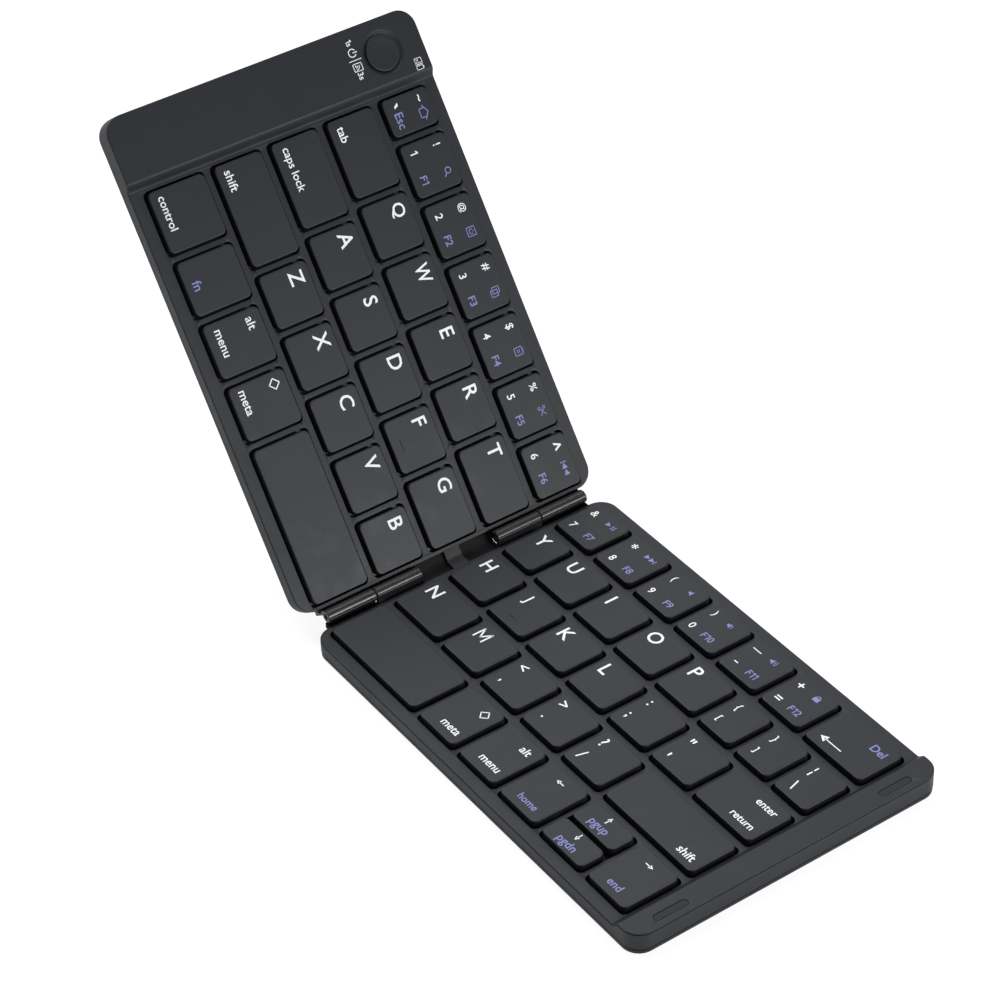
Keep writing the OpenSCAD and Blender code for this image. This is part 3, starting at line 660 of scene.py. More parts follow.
def arrow(size, turn=0.0):
    """An arrow that points left before it is turned."""
    head = 0.5 * size**0.5
    back = -size / 2 + head * 1.5
    faces = dash(0.3, -size / 2 + head, 0, size / 2, 0)
    faces.append([(-size / 2, 0), (back, -head * 0.85), (back, head * 0.85)])
    c, s = math.cos(math.radians(turn)), math.sin(math.radians(turn))
    return [[(x * c - y * s, x * s + y * c) for x, y in face] for face in faces]


def sheet(x, y, w, h, width=0.22):
    x0, x1, y0, y1 = x - w / 2, x + w / 2, y - h / 2, y + h / 2
    return stroke([(x0, y0), (x1, y0), (x1, y1), (x0, y1)], width, True)


ICONS = {
    "em": dash(0.5, -1.65, -1.95, -1.65, 1.95)
    + dash(0.5, 1.65, -1.95, 1.65, 1.95)
    + stroke([(-1.55, 1.8), (0, -0.95), (1.55, 1.8)], 0.46),
    "house": stroke([(-1.9, 0), (0, 1.25), (1.9, 0)], 0.26)
    + stroke([(-1.2, 0.25), (-1.2, -1.15), (1.2, -1.15), (1.2, 0.25)], 0.24),
    "lens": hoop(-0.25, 0.3, 0.8, 0.26) + dash(0.32, 0.35, -0.3, 1.1, -1.1),
    "select": sheet(0, 0, 2.4, 2.4)
    + stroke([(-0.6, 0.35), (-0.6, -0.5), (0.6, -0.5), (0.6, 0.35)], 0.22)
    + dash(0.22, -0.15, 0.55, 0.15, 0.55),
    "copy": sheet(-0.35, 0.3, 1.7, 2.0) + sheet(0.4, -0.35, 1.7, 2.0),
    "paste": sheet(0, -0.1, 2.1, 2.3)
    + dash(0.4, -0.5, 1.15, 0.5, 1.15)
    + dash(0.2, -0.45, 0.2, 0.5, 0.2)
    + dash(0.2, -0.45, -0.4, 0.5, -0.4),
    "scissors": hoop(-0.75, 0.75, 0.36, 0.2, steps=10)
    + hoop(-0.75, -0.75, 0.36, 0.2, steps=10)
    + dash(0.24, -0.5, 0.5, 1.2, -0.75)
    + dash(0.24, -0.5, -0.5, 1.2, 0.75),
    "previous": dash(0.26, -1.85, -0.8, -1.85, 0.8) + triangle(-0.85, -1) + triangle(0.95, -1),
    "next": triangle(-0.95) + triangle(0.85) + dash(0.26, 1.85, -0.8, 1.85, 0.8),
    "play": triangle(-0.95) + dash(0.3, 0.6, -0.8, 0.6, 0.8) + dash(0.3, 1.35, -0.8, 1.35, 0.8),
    "mute": speaker(0.9, 0),
    "quieter": speaker(0.45, 1),
    "louder": speaker(0, 2),
    "padlock": [[(-0.95, -1.15), (0.95, -1.15), (0.95, 0.3), (-0.95, 0.3)]]
    + hoop(0, 0.3, 0.6, 0.26, 0, 180, 8),
    "diamond": stroke([(0, -1.45), (1.45, 0), (0, 1.45), (-1.45, 0)], 0.3, True),
    "power": hoop(0, -0.1, 1.05, 0.26, 120, 300, 20) + dash(0.26, 0, 0.1, 0, 1.35),
    "link": sheet(0, 0, 2.0, 2.5, 0.2)
    + hoop(-0.45, -0.6, 0.55, 0.22, 0, 90, 5)
    + hoop(-0.45, -0.6, 1.1, 0.22, 0, 90, 6)
    + [circle(-0.4, -0.55, 0.2, 8)],
    "bar": dash(0.2, 0, -1.8, 0, 1.8),
    "short_bar": dash(0.18, 0, -1.1, 0, 1.1),
    "cell": sheet(0, -0.1, 1.0, 1.9, 0.16) + dash(0.2, -0.2, 1.05, 0.2, 1.05),
    "small_link": sheet(0, 0, 1.25, 2.0, 0.16)
    + hoop(-0.3, -0.5, 0.5, 0.16, 0, 90, 5)
    + [circle(-0.25, -0.45, 0.16, 8)],
    "left_arrow": arrow(2.6),
    "right_arrow": arrow(2.6, 180),
    "up_arrow": arrow(2.4, -90),
    "down_arrow": arrow(2.4, 90),
    "long_arrow": arrow(7.4),
    "homing": dash(0.35, -1.6, 0, 1.6, 0),
}

# The inks' places among a piece's finishes, and the mark of a raised bar
W, F, RIDGE = 2, 3, 0
# Rows of legends: their ink, middle y, width or None, height or None, and middle u by text
LEGENDS = {
    "left": [
        (W, 39.0, 1.9, None, {"~": 113.4}),
        (W, 31.9, None, 1.2, {"`": 113.6}),
        (F, 38.9, None, None, {
            "house": 109.4, "lens": 92.9, "select": 76, "copy": 59, "paste": 42.1,
            "scissors": 25.2, "previous": 8.6,
        }),
        (F, 31.7, 4.3, None, {"Esc": 109.5}),
        (W, 38.9, None, 2.3, {"!": 100.5, "#": 66}),
        (W, 31.7, None, 2.3, {"1": 100.5, "2": 82.7, "3": 66, "4": 49.1, "5": 31.9, "6": 15}),
        (F, 31.7, None, 2.2, {"F1": 92.9, "F2": 76, "F3": 59, "F4": 42.1, "F5": 25.2, "F6": 8.6}),
        (W, 38.9, None, 2.5, {"@": 82.7}),
        (W, 38.9, None, 2.7, {"$": 49.1}),
        (W, 38.9, None, 2.2, {"%": 31.9}),
        (W, 39.2, 2.3, None, {"^": 15}),
        (W, 21.2, None, 4.3, {"Q": 88.4}),
        (W, 21.3, 5.0, 4.1, {"W": 70.8}),
        (W, 21.3, None, 4.1, {"E": 54.2, "R": 37.5, "T": 20.8}),
        (W, 14.6, 4.2, None, {"tab": 111.7}),
        (W, 4.2, None, 4.1, {"A": 86.4, "S": 69.5, "D": 52.4, "F": 35.8, "G": 18.2}),
        (W, -2.3, 11.9, None, {"caps lock": 108}),
        (RIDGE, -2.8, None, None, {"homing": 31.9}),
        (W, -12.8, None, 4.1, {"Z": 82.3, "X": 65, "C": 48.1, "V": 31, "B": 14.3}),
        (W, -19.4, 5.6, None, {"shift": 111.2}),
        (W, -38.9, 9.1, None, {"control": 109.5}),
        (F, -38.9, 2.5, None, {"fn": 90}),
        (W, -29.2, 3.3, None, {"alt": 76.2}),
        (W, -38.8, 7.2, None, {"menu": 74.2}),
        (W, -29.6, None, None, {"diamond": 59.7}),
        (W, -38.8, 6.6, None, {"meta": 58.0}),
        (W, 42.8, None, None, {"small_link": 122.5, "short_bar": 121.45, "cell": 120.6}),
        (W, 25.8, None, 1.7, {"1s": 133, "3s": 124}),
        (W, 25.8, None, None, {"power": 130.3, "bar": 128.3, "link": 126.4}),
    ],
    "right": [
        (W, 38.9, None, 2.3, {"&": 7.8}),
        (W, 31.7, None, 2.3, {"7": 7.8, "8": 24.9, "9": 41.5, "0": 58.4}),
        (F, 38.9, None, None, {
            "play": 14.6, "next": 31.4, "mute": 48.4, "quieter": 64.6, "louder": 82.2,
            "padlock": 98.9,
        }),
        (F, 31.7, None, 2.2, {
            "F7": 14.6, "F8": 31.4, "F9": 48.4, "F10": 64.6, "F11": 82.2, "F12": 98.9,
        }),
        (W, 39.0, None, 2.1, {"*": 24.9}),
        (W, 38.9, None, 2.8, {"(": 41.5, ")": 58.4}),
        (W, 38.5, 3.1, 0.3, {"_": 76}),
        (W, 31.7, 1.4, 0.34, {"-": 76}),
        (W, 38.9, None, 2.0, {"+": 92.7}),
        (W, 31.7, 2.0, None, {"=": 92.7}),
        (F, 38.5, 4.6, None, {"Del": 122.3}),
        (W, 31.3, None, None, {"long_arrow": 113}),
        (W, 21.2, None, 4.1, {"Y": 8.6, "U": 22.5, "I": 38.3, "P": 73.3}),
        (W, 21.2, None, 4.2, {"O": 56.8}),
        (W, 21.4, None, 3.0, {"{": 89.6, "}": 103.8}),
        (W, 15.4, None, 2.5, {"[": 89.6, "]": 103.8}),
        (W, 21.5, None, 3.7, {"¦": 118.1}),
        (W, 15.1, None, 3.3, {"\\": 118.9}),
        (W, 4.2, None, 4.1, {"H": 8.3, "J": 25.1, "K": 42.1, "L": 58.8}),
        (RIDGE, -2.7, None, None, {"homing": 28.5}),
        (W, 5.2, None, 2.1, {":": 75.2}),
        (W, -1.7, None, 2.6, {";": 75.2}),
        (W, 5.3, None, 1.4, {'"': 92.6}),
        (W, -2.1, None, 1.4, {"'": 92.6}),
        (W, 4.8, 6.8, None, {"enter": 121.2}),
        (W, -2.4, 7.6, None, {"return": 120.8}),
        (W, -12.8, None, 4.1, {"N": 8.4}),
        (W, -12.8, None, None, {"em": 29.7}),
        (W, -11.8, 2.2, None, {"<": 45.9, ">": 63}),
        (W, -19.3, None, 1.1, {",": 45.9}),
        (W, -18.7, 0.6, None, {".": 63}),
        (W, -12.2, None, 3.4, {"?": 79.8}),
        (W, -18.9, None, 3.3, {"/": 79.8}),
        (W, -19.6, 5.6, None, {"shift": 121.7}),
        (W, -29.7, None, None, {"diamond": 54.3}),
        (W, -38.8, 6.6, None, {"meta": 52.8}),
        (W, -29.2, 3.3, None, {"alt": 71}),
        (W, -38.8, 7.2, None, {"menu": 69.1}),
        (W, -29.1, None, None, {"left_arrow": 84.8, "right_arrow": 119.8}),
        (F, -39, 6.7, None, {"home": 85.4}),
        (W, -27.6, None, None, {"up_arrow": 102.2}),
        (F, -31.2, 6.3, None, {"pgup": 102.2}),
        (W, -36.6, None, None, {"down_arrow": 102.2}),
        (F, -40.2, 6.3, None, {"pgdn": 102.2}),
        (F, -39, 4.5, None, {"end": 119.8}),
    ],
}

# The figure one is drawn, with its flag: its faces, the box around them and the gap beside it
ONE = [
    [(0.17, 0), (0.27, 0), (0.27, 0.72), (0.17, 0.72)],
    [(0.0, 0.5), (0.17, 0.56), (0.17, 0.72), (0.0, 0.6)],
]
ONE_BOX, ONE_GAP = (0.0, 0.27, 0.0, 0.72), 0.09
FONT_WEIGHT = 0.011


def word_faces(text):
    """A word's faces and the box around them, with any figure one set among the font's."""
    if "1" not in text:
        return letter_faces(text)
    faces, reach = [], 0.0
    for letter in text:
        drawn, (x0, x1, _, _) = (ONE, ONE_BOX) if letter == "1" else letter_faces(letter)
        faces += [[(x - x0 + reach, y) for x, y in face] for face in drawn]
        reach += x1 - x0 + ONE_GAP
    ys = [y for face in faces for _, y in face]
    return faces, (0.0, reach - ONE_GAP, min(ys), max(ys))


@cache
def letter_faces(text):
    """The faces of a word in the font, and the box around them."""
    curve = bpy.data.curves.new("word", "FONT")
    curve.body = text
    curve.resolution_u = 3
    curve.offset = FONT_WEIGHT
    word = bpy.data.objects.new("word", curve)
    mesh = bpy.data.meshes.new_from_object(word)
    faces = []
    for polygon in mesh.polygons:
        face = [tuple(mesh.vertices[i].co[:2]) for i in polygon.vertices]
        faces.append(face if polygon.normal.z > 0 else face[::-1])
    bpy.data.objects.remove(word)
    bpy.data.curves.remove(curve)
    bpy.data.meshes.remove(mesh)
    if not faces:
        raise RuntimeError(f"no outline for {text!r}")
    return faces, plan_box(faces)


def plan_box(faces):
    xs, ys = ([point[k] for face in faces for point in face] for k in (0, 1))
    return min(xs), max(xs), min(ys), max(ys)


def legend_faces(half, text, u, y, width, height):
    """A legend's faces in plan. On the left half, reading runs towards the hinge."""
    faces = ICONS.get(text)
    if faces is None:
        raw, (x0, x1, y0, y1) = word_faces(text)
        across = width / (x1 - x0) if width else height / (y1 - y0)
        up = height / (y1 - y0) if height else across
        mid_x, mid_y = (x0 + x1) / 2, (y0 + y1) / 2
        faces = [[((x - mid_x) * across, (v - mid_y) * up) for x, v in face] for face in raw]
    way = -1 if half == "left" else 1
    return [[(u + way * x, y + v) for x, v in face] for face in faces]


def print_legends(form, box, z, lift):
    """Prints the legends of a form's half whose middle lies in box."""
    u0, u1, y0, y1 = box
    for use, y, width, height, texts in LEGENDS[form.half]:
        for text, u in texts.items():
            if not (u0 <= u <= u1 and y0 <= y <= y1):
                continue
            faces = legend_faces(form.half, text, u, y, width, height)
            if use == RIDGE:
                homing_bar(form, plan_box(faces), z)
            else:
                form.print_on(faces, z + lift, use)


def homing_bar(form, box, z):
    """A low ridge with softened edges that marks a home key."""
    form.solid(form.rims(box, 0.16, [(0, z - 0.05), (0, z + 0.07), (-0.05, z + 0.12)], 3))


# Places of the caps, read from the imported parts


def cap_boxes(node, half):
    """(u0, u1, y0, y1) of each cap in a node, in its half's millimetres."""
    bm = bmesh.new()
    bm.from_mesh(frame["nodes"][node].data)
    bmesh.ops.remove_doubles(bm, verts=bm.verts, dist=1e-6)
    bmesh.ops.transform(bm, matrix=TO_FRAME[half].inverted(), verts=bm.verts)
    seen, boxes = set(), []
    for first in bm.verts:
        if first in seen:
            continue
        seen.add(first)
        reached = [first]
        for vert in reached:
            near = [link.other_vert(vert) for link in vert.link_edges]
            fresh = [other for other in near if other not in seen]
            seen.update(fresh)
            reached += fresh
        low, high = ([pick(v.co[k] for v in reached) for k in range(3)] for pick in (min, max))
        if high[2] - low[2] > CAP_HEIGHT_MIN:
            boxes.append((low[0], high[0], low[1], high[1]))
    bm.free()
    return boxes


def half_boxes(half):
    """The boxes of the caps on one half, by their node."""
    caps = [n for n in frame["nodes"] if n.startswith("key_") or n.endswith(("_keys", "_bar"))]
    return {node: cap_boxes(node, half) for node in sorted(caps) if side_of(node) == half}


def side_of(node):
    return "right" if sum(corner.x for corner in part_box(node)) / 2 > HINGE.x else "left"


def windows(half):
    """The openings in the deck: one for each cap, and one shared by two shallow caps."""
    boxes = sum(half_boxes(half).values(), [])
    shallow = sorted((b for b in boxes if b[3] - b[2] < SHALLOW_CAP), key=lambda b: b[2])
    holes = [b for b in boxes if b not in shallow]
    if shallow:
        front, back = shallow[0], shallow[-1]
        holes.append((front[0], front[1], front[2], back[3]))
    return holes


def add_cap(form, box, context):
    """One cap: softened top edge, near-black side that carries painted shade, and a hollow
    underside.
    """
    r, edge, wall, skin = measures(context, "cap_corner", "cap_edge", "cap_wall", "cap_skin")
    rows = [(-0.08, CAP_BASE), (0, CAP_BASE + 0.08)]
    rows += [(-inset, CAP_TOP - drop) for inset, drop in fillet(edge, 5)]
    outer = form.rims(box, r, rows)
    # The two lowest strips of the side take the near-black tone: painted shade
    form.chain(outer, [1, 1] + [0] * 5)
    land = form.ring(rounded(grown(box, -edge - 0.25), r - edge - 0.2), CAP_TOP)
    form.bridge(outer[-1], land)
    form.lid(land)
    inner = form.rims(box, r, [(-wall, CAP_BASE), (-wall, CAP_TOP - skin)])
    form.chain([outer[0], *inner], 1)
    form.lid(inner[1], 1)


# Operators


class KeyboardStep:
    """What every step shares"""

    bl_options = {"REGISTER", "UNDO"}


class HalfStep(KeyboardStep):
    """A step that is made for each half"""

    half: EnumProperty(
        name="Half",
        description="Which half of the keyboard is built",
        items=[("left", "Left", "The raised half"), ("right", "Right", "The flat half")],
        default="right",
    )


class KEYBOARD_OT_finishes(KeyboardStep, bpy.types.Operator):
    """Make every material of the keyboard"""

    bl_idname = "keyboard.finishes"
    bl_label = "Finishes"

    def execute(self, context):
        look = context.scene.keyboard_finishes
        rough, grain = look.case_rough, look.grain

        def tint(name, by=1.0):
            return [c * by for c in getattr(look, name)]

        recipes = {
            "case_plastic": (moulded, tint("case"), rough, grain),
            "cap_plastic": (moulded, tint("cap"), rough - 0.02, grain * 0.8, 3600.0),
            # Caps' sides and hollows in the near-black tone: painted shade
            "cap_side_plastic": (moulded, tint("shade"), 0.62, 0.3, 3200.0, 0.25),
            "seam_shadow": (moulded, tint("shade", 0.5), 0.8, 0.3, 3200.0, 0.1),
            "button_plastic": (moulded, tint("cap"), rough - 0.06, grain * 0.6, 3600.0),
            "knuckle_plastic": (moulded, tint("knuckle"), 0.34, 0.2, 2400.0, 0.5),
            "link_plastic": (moulded, tint("film"), 0.4, 0.2, 2400.0),
            "foot_rubber": (rubber, tint("rubber"), 0.72),
            "pad_rubber": (rubber, tint("rubber", 0.75), 0.6),
            "strap_rubber": (rubber, tint("strap"), 0.55),
            # A fifth of the strap's tone: painted shade in the recesses beside the strip
            "sheet_rubber": (rubber, tint("strap", 0.2), 0.8),
            # Darkened to 3% of the steel tone so that the gaps around the caps stay black: painted
            # shade
            "plate_steel": (metal, tint("steel", 0.03), 0.5, (1, 0.04, 1)),
            "pin_steel": (metal, tint("steel"), 0.25),
            "screw_steel": (metal, tint("steel", 0.35), 0.35),
            "magnet_nickel": (metal, tint("magnet"), 0.2, (1, 1, 1), 0.1),
            "socket_steel": (metal, tint("steel"), 0.3, (1, 0.1, 1)),
            "battery_foil": (metal, tint("battery"), 0.42, (0.3, 0.3, 1)),
            "membrane_film": (film, tint("film")),
            "board_mask": (board, tint("board")),
            "lens_plastic": (lens, tint("lens")),
            "legend_ink": (ink, tint("ink")),
            "function_ink": (ink, tint("function_ink")),
        }
        for name, recipe in recipes.items():
            principled(name, *recipe)
        return {"FINISHED"}


class KEYBOARD_OT_caps(HalfStep, bpy.types.Operator):
    """Build one half's key caps with their legends"""

    bl_idname = "keyboard.caps"
    bl_label = "Key Caps"

    def execute(self, context):
        (lift,) = measures(context, "ink_lift")
        for node, boxes in half_boxes(self.half).items():
            form = Form(self.half)
            for box in boxes:
                add_cap(form, box, context)
                print_legends(form, box, CAP_TOP, lift)
            finishes = ["cap_plastic", "cap_side_plastic", "legend_ink", "function_ink"]
            form.make(node + "_caps", finishes, frame["nodes"][node]["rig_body"], "keycap", node)
        return {"FINISHED"}


class KEYBOARD_OT_top_frame(HalfStep, bpy.types.Operator):
    """Build one half's top frame: seam, slope, windows, block and the lips under the knuckles"""

    bl_idname = "keyboard.top_frame"
    bl_label = "Top Frame"

    def execute(self, context):
        half, form = self.half, Form(self.half)
        corner, deck_t, wall, edge = measures(context, "corner", "deck", "wall", "top_edge")
        seam, drop, depth, lift = measures(context, "seam", "seam_drop", "seam_depth", "ink_lift")
        plan = HalfPlan(half, corner)
        chamfer = 0.1

        def side(inset, below):
            return form.ring(plan.points(inset), lambda u: plan.height(u) - below)

        outer = [form.ring(plan.points(chamfer), SPLIT_Z)]
        outer.append(form.ring(plan.points(0), SPLIT_Z + chamfer))
        rows = [(0, drop + seam), (depth, drop + seam - 0.03), (depth, drop + 0.03), (0, drop)]
        outer += [side(inset, below) for inset, below in rows + fillet(edge, 4)]
        form.chain(outer, [0, 0, 1, 1, 1] + [0] * 5)
        inner = [form.ring(plan.points(wall), SPLIT_Z), side(wall, deck_t)]
        form.chain([outer[0], *inner], 1)
        deck_tops, deck_unders = self.deck_windows(context, form, deck_t)
        block = self.button_hole if half == "left" else self.pad_slots
        block_tops, block_unders = block(context, form, deck_t)
        self.level(form, plan, outer[-1], deck_tops, block_tops, 0)
        self.level(form, plan, inner[1], deck_unders, block_unders, 1)
        for u, y in SCREWS:
            low, high = PLATE_Z if u > plan.end else PLATE_TOP, plan.height(u) - 1.22
            form.tube(u, y, [(0.9, low), (1.0, low + 0.1), (1.0, high)], 1)
        self.lips(form)
        if half == "left":
            print_legends(form, (plan.end, END_U, -HALF_D, HALF_D), BLOCK_Z, lift)
        finishes = ["case_plastic", "seam_shadow", "legend_ink", "function_ink"]
        piece = form.make_half("top_shell", finishes, "case", "top_frame")
        if half == "left":
            cut_port(piece)
        return {"FINISHED"}

    @staticmethod
    def deck_windows(context, form, deck_t):
        """The edges of the windows at the deck's top and underside."""
        gap, bevel, r = measures(context, "window_gap", "window_edge", "cap_corner")
        rows = [(gap + bevel, r + bevel, 0), (gap + bevel * 0.3, r, bevel * 0.3)]
        rows += [(gap, r, bevel), (gap, r, deck_t)]
        holes = []
        for box in windows(form.half):
            rings = [form.ring(rounded(grown(box, by), r), DECK_Z - down) for by, r, down in rows]
            # The windows' inner walls take the seam shadow colour: painted shade in the gaps around
            # the caps
            form.chain(rings, [0, 0, 1])
            holes.append((rings[0], rings[-1]))
        return zip(*holes)

    @staticmethod
    def level(form, plan, ring, deck_holes, block_holes, finish):
        """Closes the top or the underside: deck with its holes, slope, and block."""
        deck, back, front, block = plan.split(ring)
        form.pave([deck, *deck_holes], finish)
        form.pave([block, *block_holes], finish)
        form.bridge(front, back[::-1], finish, closed=False)

    @staticmethod
    def button_hole(context, form, deck_t):
        """The dish and hole of the power button, and the lens window."""
        hole, dish, depth = measures(context, "button_hole", "dish", "dish_depth")
        profile = [(dish + 0.12, 0), (dish - 0.02, 0.03), (dish - 0.12, 0.1)]
        profile += [(hole + 0.24, depth - 0.1), (hole + 0.13, depth - 0.03)]
        profile += [(hole + 0.02, depth), (hole, depth + 0.05), (hole, deck_t)]
        rings = [form.ring(circle(*BUTTON, r, 72), BLOCK_Z - z) for r, z in profile]
        form.chain(rings, [0] * 6 + [1])
        rows = [(0.06, BLOCK_Z), (0, BLOCK_Z - 0.06), (0, BLOCK_Z - deck_t)]
        window = form.rims(grown(LENS_BOX, 0.05), 0.24, rows, 4)
        form.chain(window, [0, 1])
        return [rings[0], window[0]], [rings[-1], window[-1]]

    @staticmethod
    def pad_slots(context, form, _):
        """The blind slots of the stop pads."""
        long, wide = measures(context, "pad_length", "pad_width")
        rows = [(0.12, BLOCK_Z), (0.03, BLOCK_Z - 0.04), (0, BLOCK_Z - 0.14), (0, BLOCK_Z - 0.6)]
        tops = []
        for place in PADS:
            rings = form.rims(box_at(place, wide, long), wide / 2, rows, 10)
            form.chain(rings, [0, 0, 1])
            form.lid(rings[-1], 1)
            tops.append(rings[0])
        return tops, []

    @staticmethod
    def lips(form):
        """Lips in the seam shadow colour that close the gaps between the knuckles and the frames:
        painted shade where the floor would show.
        """
        low, high, end, past = AXIS_Z - 3.6, AXIS_Z - 2.0, HINGE_U + 0.1, 0.14
        for owner, (near, far) in KNUCKLES.items():
            start = 1.2 if owner == form.half else -0.25
            under = [(start, low), (end, low), (end, high), (start, high)]
            for way in (-1, 1):
                ends = sorted((way * max(near - past, SHEET_Y + 0.03), way * (far + past)))
                # Finish 1 is the seam shadow colour: painted shade
                form.bar(under, *ends, 0.03, 1)


def box_at(place, wide, deep):
    """A box around a place in plan."""
    u, y = place
    return (u - wide / 2, u + wide / 2, y - deep / 2, y + deep / 2)


def cut_port(piece):
    """Opens the charging port through the back wall, with a softened rim."""
    form = Form("left")
    rings = []
    for y, grow in ((HALF_D - 2.2, 0), (HALF_D - 0.28, 0), (HALF_D + 0.2, 0.32)):
        wide, high = (side + 2 * grow for side in PORT_SIZE)
        outline = rounded(box_at(PORT, wide, high), high / 2 - 0.02, 8)
        rings.append([form.bm.verts.new((u, y, z)) for u, z in outline])
    form.solid(rings)
    bmesh.ops.transform(form.bm, matrix=TO_FRAME["left"], verts=form.bm.verts)
    bmesh.ops.recalc_face_normals(form.bm, faces=form.bm.faces)
    cutter = plant(form.bm, "port_cut")
    piece.modifiers.remove(piece.modifiers["Shading"])
    cut = piece.modifiers.new("Port", "BOOLEAN")
    cut.operation = "DIFFERENCE"
    cut.solver = "EXACT"
    cut.object = cutter
    graph = bpy.context.evaluated_depsgraph_get()
    opened = bpy.data.meshes.new_from_object(piece.evaluated_get(graph))
    if len(opened.polygons) == len(piece.data.polygons):
        raise RuntimeError("the port did not cut " + piece.name)
    piece.modifiers.remove(cut)
    bpy.data.objects.remove(cutter)
    piece.data = opened
    opened.name = piece.name
    smooth(piece)


class KEYBOARD_OT_bottom_cover(HalfStep, bpy.types.Operator):
    """Build one half's bottom cover: parting seam, rounded lip, foot recesses and screw holes"""

    bl_idname = "keyboard.bottom_cover"
    bl_label = "Bottom Cover"

    def execute(self, context):
        half, form = self.half, Form(self.half)
        corner, inset, lip, wall = measures(context, "corner", "cover_inset", "lip", "wall")
        seam, depth = measures(context, "seam", "seam_depth")
        long, wide = measures(context, "foot_length", "foot_width")
        plan = HalfPlan(half, corner)
        rows = [(by, FLOOR_Z + drop) for by, drop in reversed(fillet(lip, 7))]
        rows += [(0, SPLIT_Z - seam), (depth, SPLIT_Z - seam + 0.02), (depth, SPLIT_Z)]
        rows += [(wall, SPLIT_Z), (wall, FLOOR_TOP)]
        rings = [form.ring(plan.points(inset + by), z) for by, z in rows]
        form.chain(rings, [0] * 8 + [1] * 4)
        under, floor = [rings[0]], [rings[-1]]
        y0, y1 = KNUCKLES[half]
        for place in SCREWS + [(BRACKET_SCREW_U, way * (y0 + y1) / 2) for way in (-1, 1)]:
            profile = [(1.23, FLOOR_Z), (1.15, FLOOR_Z + 0.08), (1.15, FLOOR_Z + 0.45)]
            profile += [(0.65, FLOOR_Z + 0.45), (0.65, FLOOR_TOP)]
            hole = [form.ring(circle(*place, r, 24), z) for r, z in profile]
            form.chain(hole, [0, 1, 1, 1])
            under.append(hole[0])
            floor.append(hole[-1])
        rows = [(0.08, FLOOR_Z), (0, FLOOR_Z + 0.08), (0, FLOOR_Z + 0.25)]
        for place in FOOT_PLACES:
            recess = form.rims(grown(box_at(place, long, wide), 0.05), wide / 2, rows, 10)
            form.chain(recess, [0, 1])
            form.lid(recess[-1], 1)
            under.append(recess[0])
        form.pave(under, 0)
        form.pave(floor, 1)
        form.make_half("bottom_shell", ["case_plastic", "seam_shadow"], "case", "bottom_cover")
        return {"FINISHED"}


class KEYBOARD_OT_switches(HalfStep, bpy.types.Operator):
    """Build one half's switch sheet and links, low enough for a cap to come down over them"""

    bl_idname = "keyboard.switches"
    bl_label = "Switches"

    # How far a cap comes down and the room that is left under it then, the sheet's top, a
    # link's bar width, thickness and length, its clearance inside a cap, and a dome's radius
    travel, spare = 1.3, 0.08
    sheet_top = 2.4
    arm, thick, long, clear = 0.9, 0.5, 10.0, 1.2
    dome_r = 2.3

    def execute(self, context):
        (skin,) = measures(context, "cap_skin")
        top, high = self.sheet_top, CAP_TOP - skin - self.travel - self.spare
        boxes = sum(half_boxes(self.half).values(), [])
        sheet, links = Form(self.half), Form(self.half)
        field = [pick(b[k] for b in boxes) for k, pick in enumerate((min, max, min, max))]
        rows = [(0.05, PLATE_TOP), (0.1, PLATE_TOP + 0.05), (0.1, top - 0.03), (0.07, top)]
        sheet.solid(sheet.rims(field, 1.0, rows))
        for u0, u1, y0, y1 in boxes:
            middle = ((u0 + u1) / 2, (y0 + y1) / 2)
            wide = min(self.long + 1, u1 - u0 - 2 * self.clear)
            deep = min(self.long, y1 - y0 - 2 * self.clear)
            r = min(self.dome_r, deep / 2 - self.arm - 0.3, wide / 2 - 2 * self.arm - 0.5)
            low = top - 0.02
            dome = [(r, low), (r * 0.94, low + 0.25), (r * 0.66, high - 0.2), (r * 0.56, high)]
            sheet.tube(*middle, dome)
            tilt = math.asin((high - top - 0.04 - self.thick) / (deep + self.thick))
            centre = Vector((*middle, (high + top) / 2))
            self.link(links, centre, (wide, deep), tilt)
            self.link(links, centre, (wide - 2 * (self.arm + 0.2), deep), -tilt)
        sheet.make_half("switch_sheet", ["membrane_film"], "membrane", "key_membrane")
        links.make_half("link_frames", ["link_plastic"], "links", "scissor_links")
        return {"FINISHED"}

    def link(self, form, centre, size, tilt):
        """A hollow frame, tilted about its middle."""
        rings, turn = [], Matrix.Rotation(tilt, 3, "X")
        rows = [(0.06, 0.5), (0, 0.44), (0, -0.44), (0.06, -0.5), (self.arm, -0.5), (self.arm, 0.5)]
        for inset, side in rows:
            w, d = (each / 2 - inset for each in size)
            corners = [(w, d), (-w, d), (-w, -d), (w, -d)]
            points = [turn @ Vector((x, y, side * self.thick)) for x, y in corners]
            rings.append([form.bm.verts.new(p + centre) for p in points])
        form.chain(rings + rings[:1])


class KEYBOARD_OT_knuckles(KeyboardStep, bpy.types.Operator):
    """Build the hinge knuckles on their brackets"""

    bl_idname = "keyboard.knuckles"
    bl_label = "Hinge Knuckles"

    def execute(self, context):
        bore, groove, thick = measures(context, "bore", "groove", "bracket")
        barrel, r = barrel_profile(groove), KNUCKLE_R
        foot_end = HINGE_U + 7
        web = [
            (r - thick, FLOOR_TOP), (foot_end, FLOOR_TOP), (foot_end, PLATE_Z),
            (r + 0.25, PLATE_Z), (r + 0.07, PLATE_Z + 0.07), (r, PLATE_Z + 0.25),
            (r, AXIS_Z - 0.2), (r - 0.25, AXIS_Z), (0.95, AXIS_Z), (r - thick, AXIS_Z - 1.0),
        ]
        for half, (y0, y1) in KNUCKLES.items():
            form = Form(half)
            for near, far in ((-y1, -y0), (y0, y1)):
                form.bar(barrel, near, far, 0.18, 0, ((0.0, AXIS_Z), bore))
                form.bar(web, near + 0.02, far - 0.02, 0.12)
            finishes = ["knuckle_plastic"]
            form.make_half("knuckle_barrels", finishes, "hinge", "hinge_knuckles", ROUND_SHARP)
        return {"FINISHED"}


